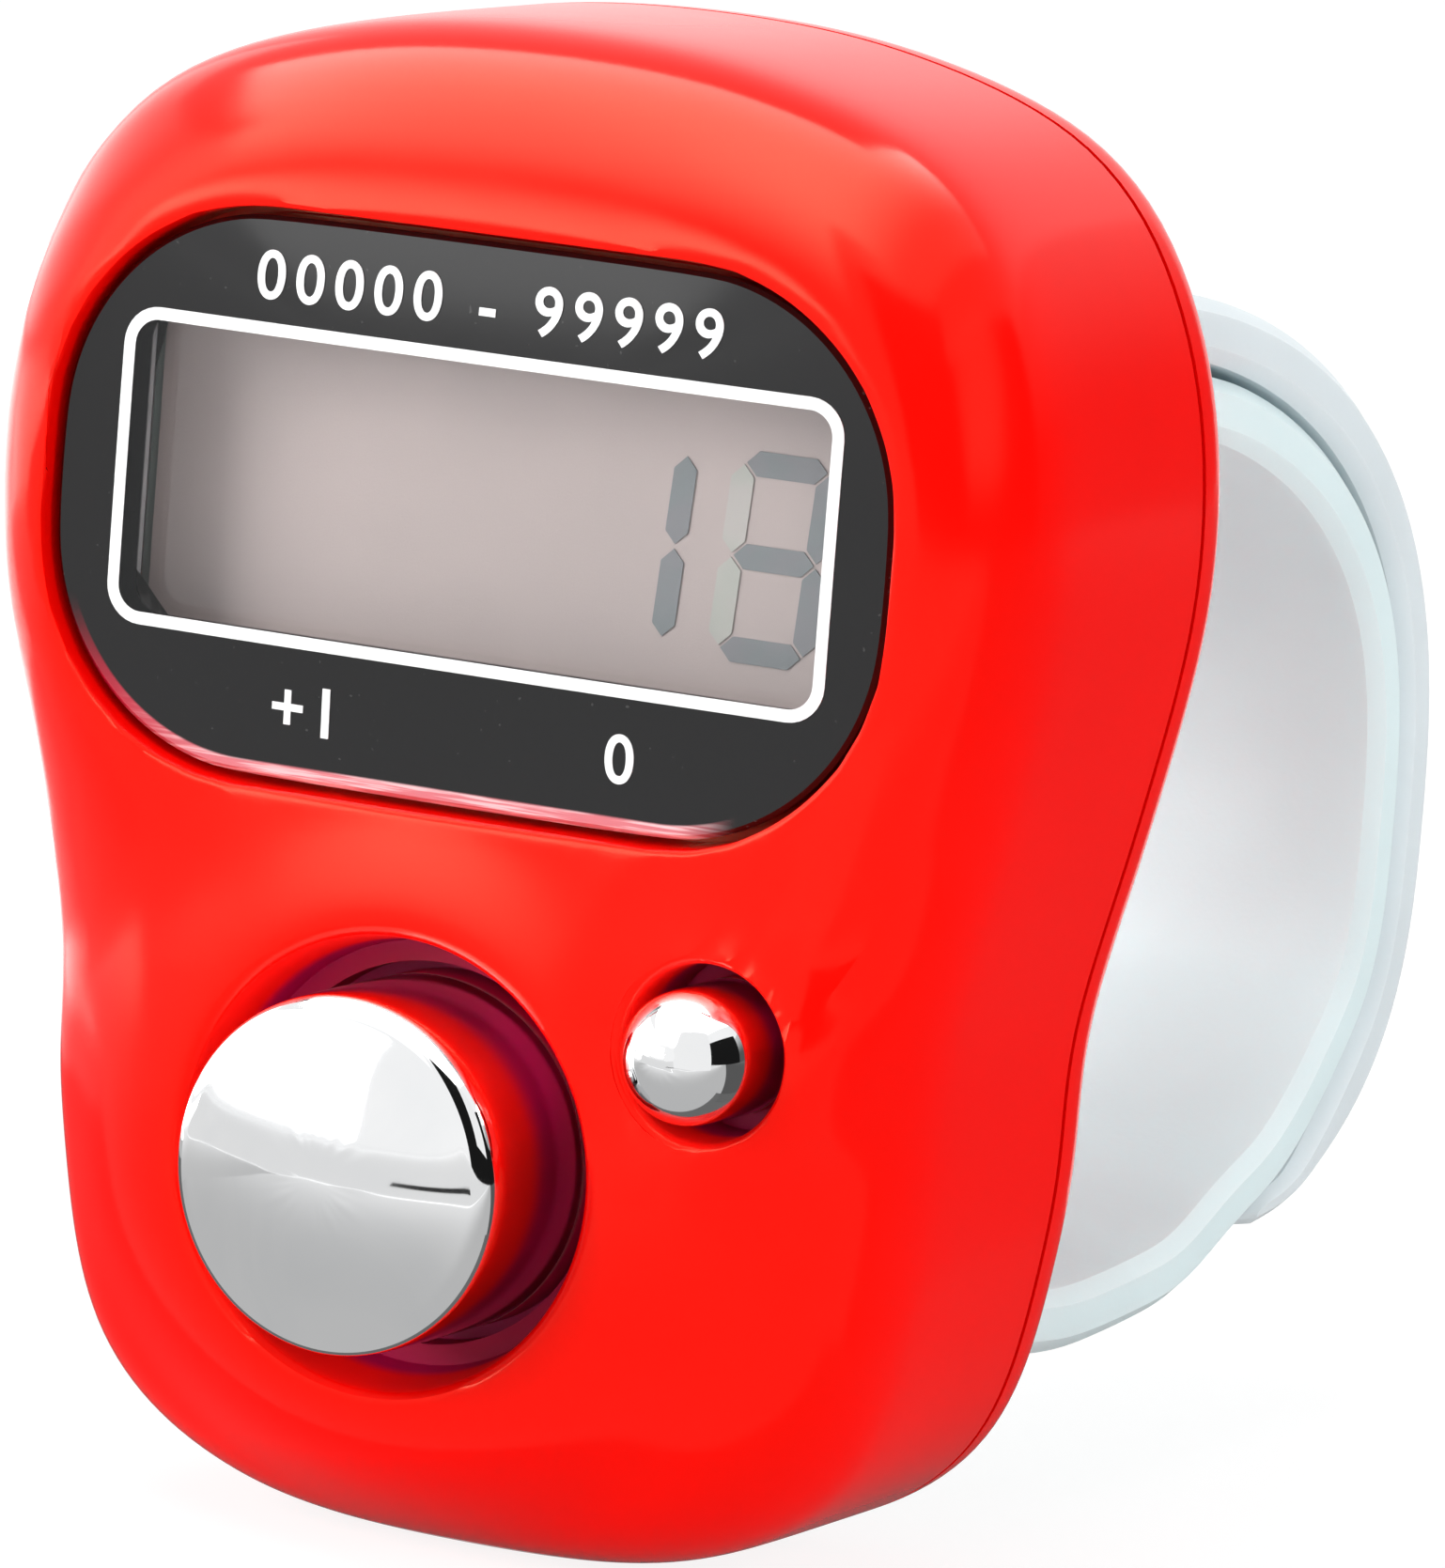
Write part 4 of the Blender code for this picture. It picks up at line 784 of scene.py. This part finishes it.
def bright_chrome(name, skirt_y, flange_y):
    """Bright on the crown and rougher down the skirt, where the plating bath reaches less, where
    its colour also turns darker and pinker as painted shade of the well. The flange that stays
    under the housing is bare plastic, coloured wine-purple as painted shade of the gap round the
    cap."""
    finish = Finish(name)
    # Down the skirt the plating is rougher, and its colour turns to painted shade.
    deep = finish.axis("Y").between(skirt_y, skirt_y + SKIRT_FADE)
    # Bare plastic on the flange, coloured wine-purple as painted shade.
    bare_and_shaded = finish.axis("Y").between(flange_y - BARE_FADE, flange_y)
    smear = finish.noise(FINGER_WAVES, 4, twist=1.4)
    wiped = finish.noise(1, 3, place=finish.stretched(WIPE_WAVES))
    bright = finish.mixed(smear.between(0.3, 0.8), CHROME, SMEARED_CHROME)
    colour = finish.mixed(bare_and_shaded, finish.mixed(deep, bright, DULL_CHROME_PAINTED_SHADE), BARE_PLASTIC_PAINTED_SHADE)
    roughness = (0.035 + smear.between(0.45, 0.75) * 0.03 + wiped.between(0.66, 0.78) * 0.03
                 + deep * 0.10 + bare_and_shaded * 0.45)
    return finish.shown(finish.principled({
        "Base Color": colour, "Metallic": 1 - bare_and_shaded, "Roughness": roughness,
        "Normal": finish.bumped(finish.noise(RIPPLE_WAVES, 1), RIPPLE_DEPTH)}))


for node, name, crown, flange_y in (("count_button", "count_cap", COUNT_CROWN, COUNT_FLANGE_Y),
                                    ("reset_button", "reset_cap", RESET_CROWN, RESET_FLANGE_Y)):
    plating = bright_chrome(name + "_plating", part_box(node)[0].y + crown, flange_y)
    refined(node, name, plating, node)


# Key domes and pills. Milky silicone domes that push the buttons back, each with a black carbon
# pill that closes the pads on the board.
SILICONE_PALE = (0.74, 0.74, 0.71)
SILICONE_SHADE = (0.66, 0.66, 0.64)
SILICONE_SHARE = 0.3
CARBON_BLACK = (0.015, 0.015, 0.016)
CARBON_GREY = (0.04, 0.04, 0.04)


def milky_silicone():
    finish = Finish("milky_silicone")
    cloud = finish.noise(400, 2)
    return finish.shown(finish.principled({
        "Base Color": finish.mixed(cloud, SILICONE_PALE, SILICONE_SHADE),
        "Roughness": 0.5 + cloud * 0.1, "Subsurface Weight": SILICONE_SHARE,
        "Subsurface Scale": MILKY_DEPTH, "Subsurface Radius": ALL_COLOURS}))


def carbon_rubber():
    finish = Finish("carbon_rubber")
    grain = finish.noise(7000, 2)
    return finish.shown(finish.principled({
        "Base Color": finish.mixed(grain, CARBON_BLACK, CARBON_GREY),
        "Roughness": 0.75 + grain * 0.15}))


MILKY_SILICONE = milky_silicone()
for joint in frame["record"]["behaviour"]["joints"]:
    dome_node = joint["child"].replace("button", "dome")
    dome = refined(dome_node, dome_node + "_skin", MILKY_SILICONE, levels=1)
    low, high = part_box(dome_node)
    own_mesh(dome)
dress(["count_contact_pill", "reset_contact_pill"], carbon_rubber())


# Button cell and its contacts. A nickel-plated can, and two strips stamped from plated spring
# steel, one pressed on the cell's front by its bend and one clipped to the cell's side.
STAIN_SHARE = 0.86
STAIN_WAVES = 350
LINE_DEPTH = 0.000002
CELL_NICKEL = (0.66, 0.66, 0.63)
CONTACT_NICKEL = (0.70, 0.68, 0.62)
CELL_WAVES = (400, 9000, 400)
CONTACT_WAVES = (9000, 9000, 500)


def plated_steel(name, waves, tint):
    """Nickel plating with fine lines from rolling or turning, across the axis of most waves."""
    finish = Finish(name)
    lines = finish.noise(1, 3, place=finish.stretched(waves))
    stain = finish.noise(STAIN_WAVES, 3).between(0.35, 0.8)
    shade = tuple(part * STAIN_SHARE for part in tint)
    return finish.shown(finish.principled({
        "Base Color": finish.mixed(stain, tint, shade), "Metallic": 1.0,
        "Roughness": 0.20 + lines * 0.16, "Normal": finish.bumped(lines, LINE_DEPTH)}))


dress(["button_cell"], plated_steel("cell_plating", CELL_WAVES, CELL_NICKEL))
dress(["battery_negative_contact", "battery_positive_contact"],
      plated_steel("contact_plating", CONTACT_WAVES, CONTACT_NICKEL))


# Screws. Four countersunk ones join the shells and a fifth keeps the door shut. Two pan-head ones
# hold the board. All are rolled from nickel-plated steel, with a cross recess and a sharp thread.
HEAD_RADIUS = 0.00118
SHANK_RADIUS = 0.00042
THREAD_RADIUS = 0.00052
THREAD_PITCH = 0.00045
HEAD_DEPTH = 0.0007
HEAD_DOME = 0.00008
CROSS_ARM = 0.00072
CROSS_WIDTH = 0.00026
CROSS_DEPTH = 0.00042
SCREW_STEPS = 32
THREAD_STEPS = 16
POINT_LENGTH = 0.0005
POINT_SHARE = 0.35
PAN_TOP_SHARE = 0.85
CROSS_FLOOR_SHARE = 0.6
RIDGE_FOOT_SHARE = 0.3
RIDGE_ROOT_SHARE = 0.95
SEAM = 0.000001
SCREW_WAVES = (5000, 700, 5000)
SCREW_NICKEL = (0.68, 0.68, 0.65)
TURN_BY_X = 900
TURN_BY_Z = 700


def cross_outline(mesh, height):
    """The corners of the cross recess, at a height over the head."""
    half = CROSS_WIDTH / 2
    ring = []
    for quarter in range(4):
        turn = Matrix.Rotation(quarter * math.pi / 2, 2)
        for place in ((half, half), (half, CROSS_ARM), (-half, CROSS_ARM)):
            x, z = turn @ Vector(place)
            ring.append(mesh.verts.new((x, height, z)))
    return ring


def screw_mesh(length, sunk):
    """A cross-recess screw that points to -Y, with the top of its head at zero."""
    mesh = bmesh.new()
    if sunk:
        head = ((SHANK_RADIUS, -HEAD_DEPTH), (HEAD_RADIUS, -HEAD_DOME))
    else:
        head = ((SHANK_RADIUS, -HEAD_DEPTH), (HEAD_RADIUS, -HEAD_DEPTH),
                (HEAD_RADIUS, -HEAD_DEPTH / 2), (HEAD_RADIUS * PAN_TOP_SHARE, -HEAD_DOME))
    point = ((0.0, -length), (SHANK_RADIUS * POINT_SHARE, -length),
             (SHANK_RADIUS, -length + POINT_LENGTH))
    line = [mesh.verts.new((radius, y, 0)) for radius, y in (*point, *head)]
    edges = [mesh.edges.new(pair) for pair in zip(line, line[1:])]
    bmesh.ops.spin(mesh, geom=line + edges, cent=(0, 0, 0), axis=(0, 1, 0),
                   angle=math.tau, steps=SCREW_STEPS, use_merge=True)
    bmesh.ops.remove_doubles(mesh, verts=mesh.verts, dist=SEAM)
    rim = [edge for edge in mesh.edges if edge.is_boundary]
    mouth = joined(mesh, cross_outline(mesh, 0))
    bmesh.ops.triangle_fill(mesh, edges=rim + mouth, use_beauty=True)
    grown = bmesh.ops.extrude_edge_only(mesh, edges=mouth)["geom"]
    floor = [item for item in grown if isinstance(item, bmesh.types.BMVert)]
    bmesh.ops.translate(mesh, verts=floor, vec=(0, -CROSS_DEPTH, 0))
    bmesh.ops.scale(mesh, verts=floor, vec=(CROSS_FLOOR_SHARE, 1, CROSS_FLOOR_SHARE))
    bmesh.ops.contextual_create(mesh, geom=[edge for edge in mesh.edges if edge.is_boundary])
    bmesh.ops.recalc_face_normals(mesh, faces=mesh.faces)
    add_thread(mesh, length)
    return mesh


def add_thread(mesh, length):
    """A sharp ridge wound along the shank."""
    start = -length + POINT_LENGTH
    turns = int((length - POINT_LENGTH - HEAD_DEPTH - THREAD_PITCH) / THREAD_PITCH)
    foot = THREAD_PITCH * RIDGE_FOOT_SHARE
    root = SHANK_RADIUS * RIDGE_ROOT_SHARE
    ridge = bmesh.new()
    corners = [ridge.verts.new(place) for place in (
        (root, start - foot, 0), (THREAD_RADIUS, start, 0), (root, start + foot, 0))]
    face = ridge.faces.new(corners)
    bmesh.ops.spin(ridge, geom=[face], cent=(0, 0, 0), axis=(0, 1, 0), angle=math.tau * turns,
                   steps=turns * THREAD_STEPS, dvec=(0, THREAD_PITCH / THREAD_STEPS, 0))
    bmesh.ops.recalc_face_normals(ridge, faces=ridge.faces)
    holder = bpy.data.meshes.new("ridge")
    ridge.to_mesh(holder)
    ridge.free()
    mesh.from_mesh(holder)
    bpy.data.meshes.remove(holder)


def fit_screw(node, sunk):
    """A detailed screw in the place of a packed one, stopped at an angle of its own."""
    low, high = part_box(node)
    mesh = screw_mesh(high.y - low.y, sunk)
    place = Vector(((low.x + high.x) / 2, high.y, (low.z + high.z) / 2))
    turn = Matrix.Rotation(place.x * TURN_BY_X + place.z * TURN_BY_Z, 4, "Y")
    bmesh.ops.transform(mesh, matrix=Matrix.Translation(place) @ turn, verts=mesh.verts)
    piece = new_piece(node + "_cross_head", mesh, SCREW_STEEL, "body")
    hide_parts(node)


SCREW_STEEL = plated_steel("screw_plating", SCREW_WAVES, SCREW_NICKEL)
for screw_node in ("housing_screw_1", "housing_screw_2", "housing_screw_3", "housing_screw_4",
                   "battery_door_screw"):
    fit_screw(screw_node, sunk=True)
for screw_node in ("board_screw_1", "board_screw_2"):
    fit_screw(screw_node, sunk=False)


# Table and backdrop. A plain white table that keeps a faint shadow, and a white surround that
# the eye and the chrome see, while the surround lights the counter at a lower level.
FLOOR_REACH = 3.0
FLOOR_DROP = 0.00002
TABLE_PALE = (0.80, 0.80, 0.80)
TABLE_WHITE = (0.84, 0.84, 0.84)
TABLE_GLOW = 1.12
SHADOW_SHARE = 0.22
SURROUND_LIGHT = 0.50
WHITE = (1.0, 1.0, 1.0)


def seen(finish):
    """1 for rays from the camera, off a mirror or through glass, and 0 for light itself."""
    camera = finish.node("ShaderNodeLightPath", output="Is Camera Ray")
    glossy = finish.node("ShaderNodeLightPath", output="Is Glossy Ray")
    through = finish.node("ShaderNodeLightPath", output="Is Transmission Ray")
    return camera.at_least(glossy).at_least(through)


def white_table():
    finish = Finish("white_table")
    tone = finish.mixed(finish.noise(30, 2), TABLE_PALE, TABLE_WHITE)
    matt = finish.principled({"Base Color": tone, "Roughness": 0.9, "Specular IOR Level": 0.0})
    glow = finish.node("ShaderNodeEmission", inputs={"Color": WHITE, "Strength": TABLE_GLOW})
    return finish.shown(finish.blended(seen(finish) * (1 - SHADOW_SHARE), matt, glow))


def white_surround():
    finish = Finish("surround", bpy.data.worlds.new("surround"))
    level = finish.node("ShaderNodeMapRange", inputs={
        "Value": seen(finish), "To Min": SURROUND_LIGHT, "To Max": 1.0})
    glow = finish.node("ShaderNodeBackground", inputs={"Color": WHITE, "Strength": level})
    return finish.shown(glow, "ShaderNodeOutputWorld")


TABLE_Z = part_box("front_housing")[0].z
table = bmesh.new()
bmesh.ops.create_grid(table, x_segments=1, y_segments=1, size=FLOOR_REACH)
bmesh.ops.translate(table, verts=table.verts, vec=(0, 0, TABLE_Z - FLOOR_DROP))
linked("table", table, white_table())
bpy.context.scene.world = white_surround()


# Lamps. A large soft box over the counter, one from the left front and one from the right, as for
# a catalogue picture. They light the counter but don't show themselves.
# Each lamp's name, place, width and height, and power in watts.
LAMPS = (
    ("overhead_box", (-0.10, -0.18, 0.60), (0.50, 0.35), 1.9),
    ("left_box", (-0.50, -0.50, 0.26), (0.42, 0.42), 4.6),
    ("right_box", (0.70, -0.10, 0.26), (0.35, 0.35), 2.2),
)

for name, place, size, watts in LAMPS:
    lamp = bpy.data.lights.new(name, "AREA")
    lamp.shape = "RECTANGLE"
    lamp.size, lamp.size_y = size
    lamp.energy = watts
    holder = bpy.data.objects.new(name, lamp)
    bpy.context.scene.collection.objects.link(holder)
    holder.location = place
    holder.rotation_mode = "QUATERNION"
    holder.rotation_quaternion = (-Vector(place)).to_track_quat("-Z", "Y")
    holder.visible_camera = holder.visible_glossy = False


# Reflection cards. White, grey and black sheets on the table, round it and over it, as a
# photographer sets them for chrome. Only gloss and mirrors see them, and they cast no light.
def flat(height, *outline):
    return [(x, y, height) for x, y in outline]


def upright(start, end, low, high):
    """The corners of an upright card between two places on the table."""
    return ((*start, low), (*end, low), (*end, high), (*start, high))


def reflection_card(name, corners, first, second, axis="Z", start=0.0, end=1.0):
    """A card whose brightness goes from first to second between two places along an axis."""
    card = bmesh.new()
    card.faces.new([card.verts.new(corner) for corner in corners])
    finish = Finish(name)
    tone = finish.mixed(finish.axis(axis).between(start, end), (first,) * 3, (second,) * 3)
    glow = finish.node("ShaderNodeEmission", inputs={"Color": tone})
    piece = linked(name, card, finish.shown(glow))
    for way in ("camera", "diffuse", "shadow", "transmission", "volume_scatter"):
        setattr(piece, "visible_" + way, False)


CARD_LIFT = 0.0002
CARD_STEP = 0.0001
CARD_Z = TABLE_Z + CARD_LIFT
UPPER_Z = CARD_Z + CARD_STEP
TOP_Z = 0.52
RIGHT_TOP_Z = 0.50
EDGE_LINE = ((-0.60, 0.080), (-0.085, -0.062), (-0.030, -0.080), (0.40, -0.080))
EDGE_BACK = ((-0.60, 0.0785), (-0.085, -0.0635), (-0.030, -0.0815), (0.40, -0.0815))
LEFT_FRONT = ((-0.20, -0.67), (-0.50, -0.55))
# Each card's name, corners, two levels of brightness, and the axis and the two places between
# which the first turns into the second.
CARDS = (
    ("grey_table_card", flat(CARD_Z, *EDGE_LINE, (0.40, -0.020), (-0.60, 0.090)),
     0.86, 0.51, "Y", -0.086, -0.038),
    ("card_edge", flat(CARD_Z, *EDGE_LINE, *reversed(EDGE_BACK)), 1.4, 1.4),
    ("under_card", flat(UPPER_Z, (-0.055, -0.027), (0.024, -0.027), (0.024, 0.030),
                        (-0.055, 0.030)), 0.15, 0.15),
    ("left_far_card", flat(UPPER_Z, (-0.60, -0.36), (-0.17, -0.125), (-0.090, -0.0605),
                           (-0.090, -0.020), (-0.60, 0.088)), 0.9, 4.5, "X", -0.090, -0.26),
    ("left_near_card", flat(UPPER_Z, (-0.090, -0.0605), (-0.040, -0.0765), (-0.040, -0.030),
                            (-0.090, -0.030)), 0.55, 0.9, "X", -0.040, -0.090),
    ("small_key_card", upright((0.00880, -0.0336), (0.01430, -0.0302), -0.0062, 0.0020),
     0.95, 0.95),
    ("far_table_card", flat(CARD_Z, *EDGE_BACK, (0.40, -0.60), (-0.60, -0.60)),
     0.98, 0.80, "Y", -0.60, -0.12),
    ("dark_stroke", flat(UPPER_Z, (-0.008, -0.107), (0.012, -0.107), (0.012, -0.096),
                         (-0.008, -0.098)), 0.02, 0.02),
    ("left_table_card", flat(CARD_Z, (-0.60, 0.095), (-0.080, -0.030), (-0.030, 0.30),
                             (-0.60, 0.40)), 3.5, 3.0, "Y", 0.1, 0.4),
    ("right_table_card", flat(UPPER_Z, (0.018, -0.024), (0.40, -0.024), (0.40, 0.40),
                              (0.018, 0.40)), 0.10, 0.25, "Y", 0.0, 0.4),
    ("dark_front_flag", upright((0.094, -0.440), (0.390, -0.225), CARD_Z, 0.38), 0.01, 0.01),
    ("dark_side_flag", upright((0.390, -0.225), (0.400, 0.205), CARD_Z, 0.26), 0.01, 0.02),
    ("dark_back_flag", upright((0.400, 0.205), (0.100, 0.460), CARD_Z, 0.22),
     0.10, 0.60, "Z", 0.05, 0.22),
    ("bright_top_card", flat(TOP_Z, (-0.55, -0.36), (0.02, -0.36), (0.02, 0.10),
                             (-0.55, 0.10)), 9.0, 9.0),
    ("bright_slope_card", ((-0.55, -0.62, 0.24), (0.02, -0.62, 0.24),
                           (0.02, -0.36, TOP_Z), (-0.55, -0.36, TOP_Z)),
     1.1, 9.0, "Z", 0.24, 0.50),
    ("right_top_card", flat(RIGHT_TOP_Z, (0.02, -0.40), (0.45, -0.40), (0.45, 0.35),
                            (0.02, 0.35)), 9.0, 2.2, "X", 0.02, 0.30),
    ("right_slope_card", ((0.02, -0.52, 0.33), (0.45, -0.52, 0.33),
                          (0.45, -0.40, RIGHT_TOP_Z), (0.02, -0.40, RIGHT_TOP_Z)),
     1.0, 2.8, "Z", 0.33, RIGHT_TOP_Z),
    ("left_front_low_card", upright(*LEFT_FRONT, 0.0, 0.08), 2.4, 9.0, "Z", 0.012, 0.05),
    ("left_front_high_card", upright(*LEFT_FRONT, 0.08, 0.24), 9.0, 1.1, "Z", 0.08, 0.24),
    ("left_side_card", upright((-0.50, -0.55), (-0.70, 0.10), 0.0, 0.45),
     3.0, 2.0, "Y", -0.55, -0.20),
    ("left_back_card", upright((-0.70, 0.10), (-0.50, 0.45), 0.0, 0.45), 2.0, 2.0),
)
for card in CARDS:
    reflection_card(*card)


# Camera. A little above the counter and to its right, tipped slightly to one side, from about a
# third of a metre with a long lens.
CAMERA_PLACE = (0.14213, -0.28719, 0.04560)
CAMERA_TURN = math.radians(27.15)
CAMERA_FALL = math.radians(8.49)
CAMERA_ROLL = math.radians(4.49)
SENSOR = 36.0
FOCAL_PIXELS = 12435
PICTURE_HEIGHT = 1669
NEAREST = 0.01
FARTHEST = 20.0

eye = bpy.data.cameras.new("eye")
eye.sensor_width = SENSOR
eye.lens = SENSOR * FOCAL_PIXELS / PICTURE_HEIGHT
eye.clip_start = NEAREST
eye.clip_end = FARTHEST
eye_holder = bpy.data.objects.new("eye", eye)
bpy.context.scene.collection.objects.link(eye_holder)
eye_holder.matrix_world = (Matrix.Translation(CAMERA_PLACE)
                           @ Matrix.Rotation(CAMERA_TURN, 4, "Z")
                           @ Matrix.Rotation(math.pi / 2 - CAMERA_FALL, 4, "X")
                           @ Matrix.Rotation(CAMERA_ROLL, 4, "Z"))
bpy.context.scene.camera = eye_holder
bpy.context.scene.view_settings.view_transform = "Standard"
